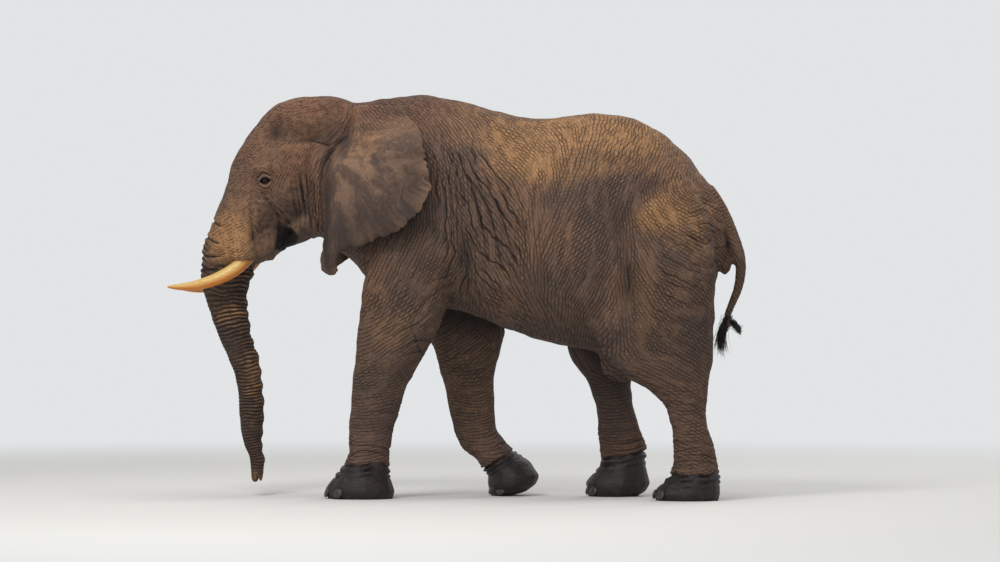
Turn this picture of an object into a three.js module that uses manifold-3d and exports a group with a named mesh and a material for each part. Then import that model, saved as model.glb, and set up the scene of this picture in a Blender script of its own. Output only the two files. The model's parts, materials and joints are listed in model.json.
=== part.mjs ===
// A life-size African savanna elephant bull in mid-stride, as a museum would model it.
// Millimetres, +Z up. The bull faces -X and its left side faces -Y. It stands on the plane Z = 0,
// with the origin under the middle of its bounding box.
import * as THREE from "three";
import { LoftGeometry } from "three/addons/geometries/LoftGeometry.js";
import { mergeVertices } from "three/addons/utils/BufferGeometryUtils.js";
import Module from "manifold-3d";

const wasm = await Module();
wasm.setup();

// ---------------------------------------------------------------- driving sizes
const gap = 0.3; // clear space left in every cut between two pieces
const sides = { left: -1, right: 1 };

const cutHeights = {
  fore: { top: 1740, elbow: 1240, wrist: 330 },
  hind: { top: 1700, knee: 960, ankle: 290 },
};
const neckCut = -620; // X of the cut between neck and body
const trunkCuts = [1850, 1400, 800]; // heights of the cuts below the head

const eye = { x: -1481, y: 334, z: 2506, radius: 30 };
const tusk = { rootRadius: 60, tipRadius: 9, count: 9, steps: 9 };
const nail = { across: 47, tall: 42, deep: 17, sunk: 7 };

// ---------------------------------------------------------------- cross sections
// Each table lists a body part's cross sections. "at" is the place along the loft. "low" and "high" are the
// section's reach along its long direction, "wide" is where between them it is widest, "half" is half its
// width, "mid" how far its middle stands from the symmetry plane, and "round" its roundness towards
// low and high: 2 is an ellipse, more is boxier, less is more pointed.
const table = (keys, rows) =>
  rows.map((row) => Object.fromEntries(keys.map((key, i) => [key, row[i]])));

// Neck and barrel, in upright slices from the nape to the rump: low is the belly, high the back.
const bodyRows = table(
  ["at", "low", "wide", "high", "half", "roundLow", "roundHigh"],
  [
    [-1260, 2160, 2620, 3070, 290, 2.0, 2.0],
    [-1080, 2055, 2560, 3135, 345, 2.0, 2.0],
    [-860, 1890, 2470, 3130, 395, 2.0, 1.9],
    [-680, 1690, 2370, 3140, 445, 2.0, 1.8],
    [-480, 1560, 2260, 3180, 510, 2.1, 1.75],
    [-280, 1510, 2200, 3203, 565, 2.1, 1.7],
    [24, 1480, 2120, 3141, 625, 2.1, 1.75],
    [303, 1372, 2060, 3069, 670, 2.1, 1.85],
    [640, 1252, 2010, 2990, 700, 2.05, 1.95],
    [900, 1192, 2010, 3026, 700, 2.05, 1.95],
    [1150, 1150, 2050, 3043, 675, 2.0, 1.9],
    [1417, 1190, 2110, 3001, 625, 2.0, 1.8],
    [1650, 1330, 2150, 2881, 560, 2.0, 1.7],
    [1850, 1500, 2140, 2695, 475, 2.0, 1.7],
    [2000, 1680, 2100, 2480, 360, 2.0, 1.7],
    [2090, 1830, 2080, 2310, 225, 2.0, 1.8],
    [2140, 1960, 2070, 2180, 90, 2.0, 1.8],
  ],
);

// Skull and face, in level slices from the upper lip to the crown: low is the face, high the nape side.
const headRows = table(
  ["at", "low", "wide", "high", "half", "roundLow", "roundHigh"],
  [
    [1845, -2042, -1860, -1640, 195, 2.1, 2.0],
    [1960, -2041, -1790, -1480, 222, 2.1, 2.0],
    [2078, -2002, -1680, -1380, 248, 2.1, 2.0],
    [2222, -1946, -1560, -1200, 292, 2.1, 2.0],
    [2357, -1890, -1450, -1080, 338, 2.0, 2.0],
    [2493, -1850, -1380, -980, 366, 2.0, 2.0],
    [2620, -1812, -1340, -900, 378, 2.1, 2.0],
    [2755, -1745, -1300, -850, 370, 2.2, 2.0],
    [2875, -1665, -1270, -800, 352, 2.3, 2.0],
    [2960, -1605, -1240, -780, 328, 2.3, 2.0],
    [3040, -1530, -1210, -790, 290, 2.3, 2.0],
    [3100, -1450, -1180, -820, 240, 2.2, 2.0],
    [3145, -1350, -1140, -880, 180, 2.0, 2.0],
    [3168, -1270, -1120, -950, 115, 2.0, 2.0],
    [3177, -1190, -1100, -1020, 50, 2.0, 2.0],
  ],
);

// Trunk, in level slices from its tip up into the face.
const trunkRows = table(
  ["at", "low", "high", "half"],
  [
    [112, -1652, -1568, 42],
    [135, -1668, -1548, 58],
    [200, -1671, -1540, 66],
    [286, -1682, -1532, 74],
    [405, -1722, -1548, 84],
    [565, -1745, -1550, 94],
    [764, -1750, -1550, 101],
    [940, -1777, -1565, 107],
    [1147, -1852, -1615, 118],
    [1401, -1957, -1685, 136],
    [1521, -1990, -1702, 146],
    [1640, -2028, -1694, 160],
    [1760, -2047, -1660, 176],
    [1850, -2042, -1640, 184],
    [1940, -1970, -1690, 130],
  ],
);

// Lower jaw, in upright slices from the lip to the throat.
const jawRows = table(
  ["at", "low", "high", "half"],
  [
    [-1668, 1872, 1935, 34],
    [-1625, 1843, 2010, 88],
    [-1545, 1862, 2110, 145],
    [-1455, 1900, 2190, 170],
    [-1395, 1962, 2240, 158],
    [-1298, 1994, 2290, 190],
    [-1179, 2045, 2350, 225],
    [-1060, 2090, 2420, 225],
  ],
);

// Legs, in level slices from the sole up: low is the front of the leg and high its back.
const legKeys = ["at", "low", "high", "mid", "half"];
const legRows = {
  fore_left: table(legKeys, [
    [0, -985, -470, 322, 222],
    [60, -1010, -455, 322, 240],
    [200, -913, -497, 322, 205],
    [330, -820, -513, 323, 158],
    [560, -820, -455, 330, 155],
    [800, -798, -392, 345, 168],
    [1000, -776, -300, 360, 184],
    [1300, -745, -112, 392, 206],
    [1640, -698, 2, 411, 221],
    [1970, -660, 112, 416, 226],
    [2300, -630, 110, 398, 214],
    [2600, -550, 25, 365, 182],
    [2820, -420, -120, 310, 105],
  ]),
  fore_right: table(legKeys, [
    [0, 236, 400, 322, 130],
    [30, 222, 505, 322, 186],
    [90, 215, 590, 322, 216],
    [160, 209, 620, 322, 220],
    [262, 134, 545, 322, 192],
    [365, 2, 396, 323, 162],
    [530, -72, 277, 331, 152],
    [750, -122, 248, 343, 163],
    [1010, -187, 263, 362, 184],
    [1300, -292, 345, 392, 206],
    [1600, -450, 312, 410, 220],
    [1970, -600, 230, 416, 226],
    [2300, -600, 160, 398, 214],
    [2600, -530, 30, 365, 182],
    [2820, -410, -120, 310, 105],
  ]),
  hind_left: table(legKeys, [
    [0, 1612, 2104, 325, 190],
    [50, 1598, 2120, 325, 206],
    [200, 1738, 2114, 325, 176],
    [340, 1755, 2090, 325, 152],
    [560, 1748, 2030, 328, 148],
    [740, 1688, 2006, 335, 158],
    [876, 1545, 2024, 342, 176],
    [935, 1420, 2041, 346, 188],
    [1120, 1210, 2068, 356, 222],
    [1400, 1100, 2078, 370, 260],
    [1800, 1085, 2105, 370, 286],
    [2150, 1140, 2060, 338, 258],
    [2450, 1230, 1930, 300, 214],
    [2740, 1430, 1690, 235, 110],
  ]),
  hind_right: table(legKeys, [
    [0, 1010, 1400, 325, 180],
    [40, 1000, 1470, 325, 204],
    [100, 1000, 1506, 325, 208],
    [248, 1104, 1476, 325, 168],
    [400, 1103, 1472, 326, 152],
    [560, 1083, 1413, 330, 149],
    [760, 1057, 1354, 337, 161],
    [910, 1003, 1347, 344, 178],
    [1110, 850, 1450, 356, 214],
    [1280, 798, 1720, 364, 244],
    [1500, 830, 1980, 371, 270],
    [1800, 930, 2070, 370, 286],
    [2150, 1100, 2050, 338, 258],
    [2450, 1230, 1930, 300, 214],
    [2740, 1430, 1690, 235, 110],
  ]),
};

// Ears, in level slices from the hanging lobe to the top: front and back are the two edges, root how far from
// the symmetry plane the ear leaves the head, and rim how far out its back edge stands.
const earKeys = ["at", "front", "back", "root", "rim"];
const earTop = table(earKeys, [
  [2150, -948, -288, 400, 765],
  [2270, -944, -176, 392, 772],
  [2454, -940, -96, 384, 765],
  [2540, -934, -114, 378, 755],
  [2640, -905, -138, 370, 730],
  [2750, -860, -160, 360, 690],
  [2850, -835, -188, 340, 640],
  [2945, -825, -235, 310, 575],
  [3065, -790, -382, 250, 450],
  [3105, -720, -470, 235, 380],
  [3122, -660, -550, 235, 320],
]);
const earRows = {
  left: [
    ...table(earKeys, [
      [1752, -895, -850, 455, 500],
      [1800, -965, -820, 450, 525],
      [1870, -968, -822, 440, 560],
      [1935, -962, -800, 430, 605],
      [1990, -958, -660, 422, 670],
      [2060, -955, -470, 412, 730],
      [2105, -951, -355, 406, 755],
    ]),
    ...earTop,
  ],
  right: [
    ...table(earKeys, [
      [1796, -1058, -1015, 430, 520],
      [1850, -1052, -945, 425, 580],
      [1910, -1040, -866, 420, 630],
      [1990, -1020, -690, 412, 690],
      [2060, -995, -490, 408, 735],
      [2105, -970, -365, 404, 758],
    ]),
    ...earTop,
  ],
};

// ---------------------------------------------------------------- swellings and hollows
// Soft rises of the flank surface, the same on both sides: where (X, Z), how wide (X, Z) and how high.
const swells = {
  body: [
    { at: [-330, 2560], size: [240, 330], rise: 26 }, // shoulder blade
    { at: [60, 2380], size: [150, 420], rise: -14 }, // hollow behind the shoulder
    { at: [1330, 2660], size: [190, 130], rise: 34 }, // hip bone
    { at: [1640, 2440], size: [110, 110], rise: -18 }, // hollow above the thigh
    { at: [1707, 2230], size: [130, 150], rise: 26 }, // top of the thigh bone
    { at: [1180, 2330], size: [150, 260], rise: -22 }, // hollow of the flank
    { at: [2010, 2080], size: [120, 200], rise: 22 }, // seat bone
  ],
  head: [
    { at: [-1383, 2895], size: [105, 95], rise: -30 }, // temple
    { at: [-1130, 2830], size: [140, 60], rise: -14 },
    { at: [-1481, 2493], size: [80, 60], rise: -16 }, // eye socket
    { at: [-1190, 2690], size: [150, 95], rise: 20 }, // cheekbone
    { at: [-1510, 2588], size: [110, 52], rise: 24 }, // brow
    { at: [-1230, 2330], size: [140, 190], rise: 26 }, // jaw muscle
    { at: [-1620, 2130], size: [110, 190], rise: 45 }, // root of the tusk
    { at: [-1665, 1915], size: [95, 120], rise: 88 },
    { at: [-1430, 2130], size: [60, 160], rise: -30 }, // in front of the cheek
  ],
};

// ---------------------------------------------------------------- shape makers
const lerp = THREE.MathUtils.lerp;

// Smooth values between the rows of a table, as a function of "at".
function between(rows) {
  const keys = Object.keys(rows[0]).filter((key) => key !== "at");
  const curve = new THREE.CubicInterpolant(
    rows.map((row) => row.at),
    rows.flatMap((row) => keys.map((key) => row[key])),
    keys.length,
    new Float64Array(keys.length),
  );
  return (at) => {
    const values = curve.evaluate(at);
    return { at, ...Object.fromEntries(keys.map((key, i) => [key, values[i]])) };
  };
}

const power = (value, exponent) => Math.sign(value) * Math.abs(value) ** exponent;

// A rounded section as points (along, across), counterclockwise from its high end.
function egg(row, count) {
  const { low, high, half } = row;
  const wide = row.wide ?? (low + high) / 2;
  return Array.from({ length: count }, (_, i) => {
    const angle = (2 * Math.PI * i) / count;
    const c = Math.cos(angle);
    const round = (c > 0 ? row.roundHigh : row.roundLow) ?? 2;
    const reach = c > 0 ? high - wide : wide - low;
    return new THREE.Vector2(
      wide + reach * power(c, 2 / round),
      half * power(Math.sin(angle), 2 / round),
    );
  });
}

// How far the swellings push the surface out at (x, z).
const swelling = (list, x, z) =>
  list.reduce((sum, { at, size, rise }) => {
    const [u, w] = [(x - at[0]) / size[0], (z - at[1]) / size[1]];
    return sum + rise * Math.exp(-u * u - w * w);
  }, 0);

// A closed solid through the rows of a table. Along X the sections stand upright, along Z they lie level.
function loft(axis, rows, { count = 20, side = 1, shaped = [] } = {}) {
  const sections = rows.map((row) => {
    const mid = side * (row.mid ?? 0);
    return egg(row, count).map((p) => {
      const [x, z] = axis === "x" ? [row.at, p.x] : [p.x, row.at];
      const flank = p.y / row.half; // 1 or -1 out on the flanks, 0 on the symmetry plane
      const y = p.y + swelling(shaped, x, z) * flank;
      return new THREE.Vector3(x, axis === "x" ? mid - y : mid + y, z);
    });
  });
  return solid(new LoftGeometry(sections, { capStart: true, capEnd: true }));
}

// A round bar along a smooth line of points, with its radius a function of the share of its length.
function bar(points, radiusAt, { count = 12, steps = 12 } = {}) {
  const path = new THREE.CatmullRomCurve3(points.map((p) => new THREE.Vector3(...p)));
  const { normals, binormals } = path.computeFrenetFrames(steps);
  const sections = normals.map((_, i) => {
    const centre = path.getPointAt(i / steps);
    const radius = radiusAt(i / steps);
    return Array.from({ length: count }, (_, k) => {
      const angle = (2 * Math.PI * k) / count;
      return centre
        .clone()
        .addScaledVector(normals[i], radius * Math.cos(angle))
        .addScaledVector(binormals[i], radius * Math.sin(angle));
    });
  });
  return solid(new LoftGeometry(sections, { capStart: true, capEnd: true }));
}

// An egg-shaped lump with three half sizes, turned about Y by an angle in degrees.
function lump([x, y, z], [a, b, c], { tilt = 0, count = 14 } = {}) {
  const ball = new THREE.SphereGeometry(1, count, Math.round(count * 0.7));
  ball.rotateX(Math.PI / 2);
  ball.scale(a, b, c);
  ball.rotateY(THREE.MathUtils.degToRad(tilt));
  ball.translate(x, y, z);
  return solid(ball);
}

// ---------------------------------------------------------------- solids and cuts
// A closed geometry as a manifold solid, facing outwards.
function solid(geometry) {
  const bare = new THREE.BufferGeometry();
  bare.setAttribute("position", geometry.getAttribute("position"));
  bare.setIndex(geometry.index);
  const merged = mergeVertices(bare, 1e-3);
  const corners = Array.from(merged.index.array);
  const faces = [];
  for (let i = 0; i < corners.length; i += 3) {
    const [a, b, c] = corners.slice(i, i + 3);
    if (a !== b && b !== c && c !== a) faces.push(a, b, c);
  }
  const made = new wasm.Manifold(
    new wasm.Mesh({
      numProp: 3,
      vertProperties: new Float32Array(merged.attributes.position.array),
      triVerts: new Uint32Array(faces),
    }),
  );
  return made;
}

// The surface of a manifold solid as a geometry.
function surface(part) {
  const { vertProperties, triVerts } = part.getMesh();
  const geometry = new THREE.BufferGeometry();
  geometry.setAttribute("position", new THREE.BufferAttribute(vertProperties, 3));
  geometry.setIndex(new THREE.BufferAttribute(triVerts, 1));
  geometry.computeVertexNormals();
  return geometry;
}

// The same solid with every face moved out by the gap, which leaves clear space where it is cut away.
function grown(part) {
  const geometry = surface(part);
  const { position } = geometry.attributes;
  const corners = geometry.index.array;
  const points = Array.from({ length: position.count }, (_, i) =>
    new THREE.Vector3().fromBufferAttribute(position, i),
  );
  const faces = Array.from({ length: corners.length / 3 }, (_, i) => {
    const ids = Array.from(corners.slice(3 * i, 3 * i + 3));
    return { ids, normal: new THREE.Triangle(...ids.map((id) => points[id])).getNormal(new THREE.Vector3()) };
  });
  const facings = points.map(() => []); // the clearly different directions that meet at each corner
  faces.forEach(({ ids, normal }) =>
    ids.forEach((id) => {
      if (facings[id].every((other) => other.dot(normal) < 0.95)) facings[id].push(normal);
    }),
  );
  points.forEach((point, i) => {
    const out = facings[i].reduce((sum, one) => sum.add(one), new THREE.Vector3()).normalize();
    const share = Math.min(...facings[i].map((one) => one.dot(out)));
    point.addScaledVector(out, gap / Math.max(0.95 * share, 0.15));
    position.setXYZ(i, point.x, point.y, point.z);
  });
  return solid(geometry);
}

const join = (...parts) => parts.reduce((whole, part) => whole.add(part));
const cut = (whole, ...tools) =>
  tools.reduce((rest, tool) => rest.subtract(grown(tool)), whole);
const above = (whole, z) => whole.trimByPlane([0, 0, 1], z);
const below = (whole, z) => whole.trimByPlane([0, 0, -1], -z);
const behind = (whole, x) => whole.trimByPlane([1, 0, 0], x + gap / 2);
const before = (whole, x) => whole.trimByPlane([-1, 0, 0], -x + gap / 2);
const largest = (part) => part.decompose().sort((a, b) => b.volume() - a.volume())[0];

// Pieces of a solid between cuts at falling heights, from the top down.
function slices(whole, heights) {
  return [Infinity, ...heights].map((top, i) => {
    const bottom = heights[i] ?? -Infinity;
    let piece = whole;
    if (Number.isFinite(top)) piece = below(piece, top - gap / 2);
    if (Number.isFinite(bottom)) piece = above(piece, bottom + gap / 2);
    return piece;
  });
}

// ---------------------------------------------------------------- the animal's parts
const bothSides = Object.entries(sides);

const barrel = loft("x", bodyRows, { count: 24, shaped: swells.body });
const vent = lump([2120, 0, 1885], [72, 70, 150], { tilt: -6, count: 8 });
const skull = loft("z", headRows, { count: 20, shaped: swells.head });
const trunk = loft("z", trunkRows, { count: 12 });
const jaw = loft("x", jawRows, { count: 12 });
const sheath = lump([1265, 0, 1085], [135, 95, 178], { tilt: -18, count: 10 });

const sideOf = (name) => sides[name.split("_")[1]];

// One leg, whole, from the sole to its root inside the body.
const makeLeg = (name) =>
  loft("z", legRows[name], {
    count: 14,
    side: sideOf(name),
  });

function makeTusk(side) {
  const drop = side === sides.right ? 24 : 0; // the right tusk hangs a little lower
  const line = [
    [-1575, side * 170, 2045],
    [-1622, side * 205, 1940],
    [-1705, side * 247, 1834],
    [-1830, side * 286, 1752 - drop * 0.4],
    [-1970, side * 308, 1697 - drop * 0.8],
    [-2120, side * 316, 1668 - drop],
    [-2276, side * 308, 1668 - drop],
  ];
  const radius = (t) =>
    tusk.tipRadius + (tusk.rootRadius - tusk.tipRadius) * (1 - t ** 2.6) ** 0.8;
  return bar(line, radius, tusk);
}

const makeEye = (side) =>
  lump([eye.x, side * eye.y, eye.z], Array(3).fill(eye.radius), { count: 9 });

// The ear is a sheet that leaves the head, turns back and spreads over neck and shoulder. Its lowest part is
// a free lobe, with no root.
function makeEar(name, side) {
  const across = 6; // stations from the root to the rim
  const thickness = (t) => lerp(30, 13, t) / 2;
  const sections = earRows[name].map(({ at, front, back, root, rim }) => {
    const depth = back - front;
    const hinge = depth > 200 ? [[front + 0.16 * depth + 40, root - 60]] : [];
    const line = new THREE.CatmullRomCurve3(
      [
        ...hinge,
        [front + 8, root + 25],
        [front + 0.12 * depth, lerp(root, rim, 0.42)],
        [front + 0.45 * depth, lerp(root, rim, 0.8)],
        [front + 0.78 * depth, lerp(root, rim, 0.97)],
        [back, rim],
      ].map(([x, y]) => new THREE.Vector3(x, side * y, at)),
    );
    const outer = [];
    const inner = [];
    for (let i = 0; i <= across; i++) {
      const t = i / across;
      const point = line.getPointAt(t);
      const along = line.getTangentAt(t);
      const off = new THREE.Vector3(along.y, -along.x, 0).multiplyScalar(thickness(t));
      outer.push(point.clone().add(off));
      inner.unshift(point.clone().sub(off));
    }
    return [...outer, ...inner];
  });
  return solid(new LoftGeometry(sections, { capStart: true, capEnd: true }));
}

function makeTail() {
  const line = [
    [1975, 0, 2440],
    [2112, 0, 2225],
    [2188, 0, 2060],
    [2240, 0, 1925],
    [2256, 0, 1800],
    [2246, 0, 1715],
    [2222, 0, 1625],
    [2188, 0, 1545],
    [2156, 0, 1478],
    [2146, 0, 1425],
    [2150, 0, 1352],
  ];
  const radius = (t) => lerp(82, 25, Math.min(1, t * 1.08) ** 0.8);
  return bar(line, radius, { count: 8, steps: 12 });
}

// Outer shape of the bristles at the end of the tail: a hanging brush and a curl to the rear.
function makeTuft() {
  const brush = bar(
    [
      [2118, 0, 1440],
      [2112, 0, 1370],
      [2122, 0, 1280],
      [2104, 0, 1195],
      [2086, 0, 1122],
    ],
    (t) => lerp(44, 8, t ** 1.3),
    { count: 8, steps: 6 },
  );
  const curl = bar(
    [
      [2130, 0, 1300],
      [2190, 0, 1290],
      [2240, 0, 1335],
    ],
    (t) => lerp(44, 26, t),
    { count: 8, steps: 4 },
  );
  return join(brush, curl);
}

// Nails stand round the front of a foot, at these angles from straight ahead.
const nailAngles = { fore: [-62, -21, 21, 62], hind: [-46, 0, 46] };

function makeNails(name) {
  const row = between(legRows[name])(nail.tall);
  const centre = row.low + row.half;
  return nailAngles[name.slice(0, 4)].map((degrees) => {
    const a = THREE.MathUtils.degToRad(degrees);
    const ball = new THREE.SphereGeometry(1, 7, 4);
    ball.rotateX(Math.PI / 2);
    ball.scale(nail.deep, nail.across, nail.tall);
    ball.rotateY(THREE.MathUtils.degToRad(16));
    ball.rotateZ(a);
    const reach = row.half - nail.sunk;
    ball.translate(
      centre - reach * Math.cos(a),
      sideOf(name) * row.mid - reach * Math.sin(a),
      nail.tall + 6,
    );
    return solid(ball);
  });
}

// ---------------------------------------------------------------- putting it together
const group = new THREE.Group();
const finishes = {
  skin: { color: 0x6b5748, roughness: 0.9 },
  wetSkin: { color: 0x2c2624, roughness: 0.55 },
  nail: { color: 0x5d4f43, roughness: 0.6 },
  ivory: { color: 0xe2c08c, roughness: 0.35 },
  eye: { color: 0x2a1a10, roughness: 0.08 },
  bristle: { color: 0x14110f, roughness: 0.6 },
};

function place(name, part, finish) {
  const material = new THREE.MeshStandardMaterial({ metalness: 0, ...finishes[finish] });
  const mesh = new THREE.Mesh(surface(part), material);
  mesh.name = name;
  group.add(mesh);
}

const legNames = Object.keys(legRows);
const legs = Object.fromEntries(legNames.map((name) => [name, makeLeg(name)]));
const cutsOf = (name) => cutHeights[name.split("_")[0]];
const freeLegs = Object.fromEntries(
  legNames.map((name) => [name, below(legs[name], cutsOf(name).top)]),
);
const tail = makeTail();
const tuft = makeTuft();

// Body and neck, with room for the legs and the tail.
const wholeBody = cut(
  join(barrel, vent, sheath, ...Object.values(legs)),
  ...Object.values(freeLegs),
  tail,
);
place("torso", largest(behind(wholeBody, neckCut)), "skin");
place("neck", largest(cut(before(wholeBody, neckCut), skull, jaw)), "skin");

// Legs, each in three lengths, with the nails let into the feet.
const lengthNames = {
  fore: ["upper_foreleg", "lower_foreleg", "forefoot"],
  hind: ["thigh", "shank", "hindfoot"],
};
for (const name of legNames) {
  const [kind, sideName] = name.split("_");
  const toes = makeNails(name);
  const [, ...heights] = Object.values(cutsOf(name));
  slices(freeLegs[name], heights).forEach((part, i) => {
    const isFoot = i === 2;
    const bare = isFoot ? cut(part, ...toes) : part;
    place(`${lengthNames[kind][i]}_${sideName}`, largest(bare), isFoot ? "wetSkin" : "skin");
  });
  toes.forEach((toe, i) => place(`nail_${kind}_${sideName}_${i + 1}`, toe, "nail"));
}

// Head and trunk are one flesh, cut level below the lip and twice along the trunk.
const tusks = bothSides.map(([, side]) => makeTusk(side));
const eyes = bothSides.map(([, side]) => makeEye(side));
const face = cut(join(skull, trunk), jaw, ...tusks, ...eyes);
const trunkNames = ["head", "trunk_upper", "trunk_middle", "trunk_tip"];
slices(face, trunkCuts).forEach((part, i) => place(trunkNames[i], largest(part), "skin"));
place("lower_jaw", largest(cut(jaw, ...tusks)), "skin");

bothSides.forEach(([sideName, side], i) => {
  const ear = cut(makeEar(sideName, side), skull, barrel, legs[`fore_${sideName}`]);
  place(`ear_${sideName}`, largest(ear), "skin");
  place(`tusk_${sideName}`, tusks[i], "ivory");
  place(`eye_${sideName}`, eyes[i], "eye");
});

place("tail", largest(cut(tail, tuft)), "skin");
place("tail_tuft", tuft, "bristle");

// Centre the footprint on the origin.
const box = new THREE.Box3().setFromObject(group);
const middle = box.getCenter(new THREE.Vector3());
group.children.forEach((mesh) => mesh.geometry.translate(-middle.x, -middle.y, 0));

export default group;
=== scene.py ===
# The elephant's looks: one folded hide over the whole body, with its eyes, tusks, nails and tail hair
import json
import math
import time

import bpy
import bmesh
import numpy as np
from mathutils import Matrix, Vector
from mathutils.bvhtree import BVHTree
from mathutils.kdtree import KDTree

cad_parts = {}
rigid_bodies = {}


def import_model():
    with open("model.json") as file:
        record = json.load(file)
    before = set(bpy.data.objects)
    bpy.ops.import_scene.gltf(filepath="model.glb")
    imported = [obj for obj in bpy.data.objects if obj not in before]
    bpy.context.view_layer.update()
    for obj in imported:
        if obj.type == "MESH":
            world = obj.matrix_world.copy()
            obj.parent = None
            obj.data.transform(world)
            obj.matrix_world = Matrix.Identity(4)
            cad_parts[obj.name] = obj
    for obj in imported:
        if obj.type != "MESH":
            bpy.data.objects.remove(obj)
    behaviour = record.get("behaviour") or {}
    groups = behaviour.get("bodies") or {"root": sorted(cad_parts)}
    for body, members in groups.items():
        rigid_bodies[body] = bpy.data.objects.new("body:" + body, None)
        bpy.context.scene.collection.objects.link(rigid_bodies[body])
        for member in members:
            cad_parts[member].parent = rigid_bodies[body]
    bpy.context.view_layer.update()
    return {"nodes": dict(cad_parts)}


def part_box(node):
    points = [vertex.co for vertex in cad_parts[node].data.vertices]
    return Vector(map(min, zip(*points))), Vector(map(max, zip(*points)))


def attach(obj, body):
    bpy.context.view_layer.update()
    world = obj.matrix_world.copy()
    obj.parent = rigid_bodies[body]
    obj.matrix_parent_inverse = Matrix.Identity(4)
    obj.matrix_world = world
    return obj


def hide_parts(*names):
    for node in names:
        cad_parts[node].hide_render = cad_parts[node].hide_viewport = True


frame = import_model()
scene = bpy.context.scene
for spare in [o for o in scene.objects if o.name in ("Cube", "Light", "Camera")]:
    bpy.data.objects.remove(spare)

nodes = frame["nodes"]
sides = {"left": -1, "right": 1}
fleshNodes = [n for n in sorted(nodes) if not n.startswith(("nail_", "tusk_", "tail_tuft"))]
started = time.time()


def report(stage):
    print("%-28s %5.1f s" % (stage, time.time() - started))


def middle(node):
    low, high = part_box(node)
    return (low + high) / 2


def bothSides(points):
    # every point brought over to the side where y is above 0
    return points * np.float32([1, 0, 1]) + np.abs(points) * np.float32([0, 1, 0])


# reading and writing whole meshes

def readPoints(mesh):
    flat = np.empty(len(mesh.vertices) * 3, np.float32)
    mesh.vertices.foreach_get("co", flat)
    return flat.reshape(-1, 3)


def writePoints(mesh, points):
    mesh.vertices.foreach_set("co", np.asarray(points, np.float32).ravel())
    mesh.update()


def readNormals(mesh):
    flat = np.empty(len(mesh.vertices) * 3, np.float32)
    mesh.vertex_normals.foreach_get("vector", flat)
    return flat.reshape(-1, 3)


def readEdges(mesh):
    flat = np.empty(len(mesh.edges) * 2, np.int32)
    mesh.edges.foreach_get("vertices", flat)
    return flat.reshape(-1, 2)


def readField(mesh, name):
    values = np.empty(len(mesh.vertices), np.float32)
    mesh.attributes[name].data.foreach_get("value", values)
    return values


def writeField(mesh, name, values):
    field = mesh.attributes.get(name) or mesh.attributes.new(name, "FLOAT", "POINT")
    field.data.foreach_set("value", np.asarray(values, np.float32))


def readVectors(mesh, name):
    flat = np.empty(len(mesh.vertices) * 3, np.float32)
    mesh.attributes[name].data.foreach_get("vector", flat)
    return flat.reshape(-1, 3)


def writeVectors(mesh, name, values):
    field = mesh.attributes.new(name, "FLOAT_VECTOR", "POINT")
    field.data.foreach_set("vector", np.asarray(values, np.float32).ravel())


def neighbours(mesh):
    # every edge both ways, sorted by its first vertex, and where each vertex's run begins
    edges = readEdges(mesh)
    both = np.concatenate([edges, edges[:, ::-1]])
    both = both[np.argsort(both[:, 0], kind="stable")]
    count = np.bincount(both[:, 0], minlength=len(mesh.vertices))
    return both[:, 0].copy(), both[:, 1].copy(), np.concatenate([[0], np.cumsum(count)[:-1]])


def solve(table, weights, own, target, guess, steps):
    # conjugate gradients for own * x + sum of weights * (x - neighbour) = target
    _, other, first = table
    diagonal = (own + np.add.reduceat(weights, first))[:, None]
    weights = weights[:, None]

    def apply(x):
        return diagonal * x - np.add.reduceat(weights * x[other], first, axis=0)

    x = guess.copy()
    rest = target - apply(x)
    step = rest / diagonal
    size = (rest * step).sum(0)
    for _ in range(steps):
        moved = apply(step)
        share = size / np.maximum((step * moved).sum(0), 1e-20)
        x += share * step
        rest -= share * moved
        scaled = rest / diagonal
        newSize = (rest * scaled).sum(0)
        step = scaled + newSize / np.maximum(size, 1e-20) * step
        size = newSize
    return x


def spread(table, values, reach, spacing, steps=50):
    # blurs values over the surface, each vertex by its own reach in metres
    here, other, _ = table
    weights = (reach[here] * reach[other] / (2 * spacing * spacing)).astype(np.float32)
    flat = values.reshape(len(values), -1).astype(np.float32)
    return solve(table, weights, np.float32(1), flat, flat, steps).reshape(values.shape)


# brushes: each gives a height in metres, or a share, for every point

def wobble(points, size, seed, waves=9):
    # soft unevenness about 0, from a few waves that run in seeded directions
    draw = np.random.default_rng(seed)
    total = np.zeros(len(points), np.float32)
    for _ in range(waves):
        way = draw.normal(size=3)
        way *= 2 * math.pi / size * draw.uniform(0.5, 1.4) / np.linalg.norm(way)
        total += np.sin(points @ way.astype(np.float32) + np.float32(draw.uniform(0, 6.28)))
    return total / math.sqrt(waves / 2)


def smooth(low, high, values):
    share = np.clip((values - low) / (high - low), 0, 1)
    return share * share * (3 - 2 * share)


def dab(points, place, size, height=1.0):
    offset = (points - np.float32(place)) / np.float32(size)
    return height * np.exp(-0.5 * (offset * offset).sum(1))


def dabs(points, patches):
    return sum(dab(points, *patch) for patch in patches)


def curveThrough(points, steps=8):
    # a smooth line through the points
    ends = np.array([2 * np.subtract(points[0], 0.5 * np.array(points[1])), *points,
                     2 * np.subtract(points[-1], 0.5 * np.array(points[-2]))], float)
    share = np.linspace(0, 1, steps, endpoint=False)[:, None]
    runs = [0.5 * (2 * b + (c - a) * share + (2 * a - 5 * b + 4 * c - d) * share ** 2
                   + (3 * b - a - 3 * c + d) * share ** 3)
            for a, b, c, d in zip(ends, ends[1:], ends[2:], ends[3:])]
    return np.vstack([*runs, points[-1]])


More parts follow.
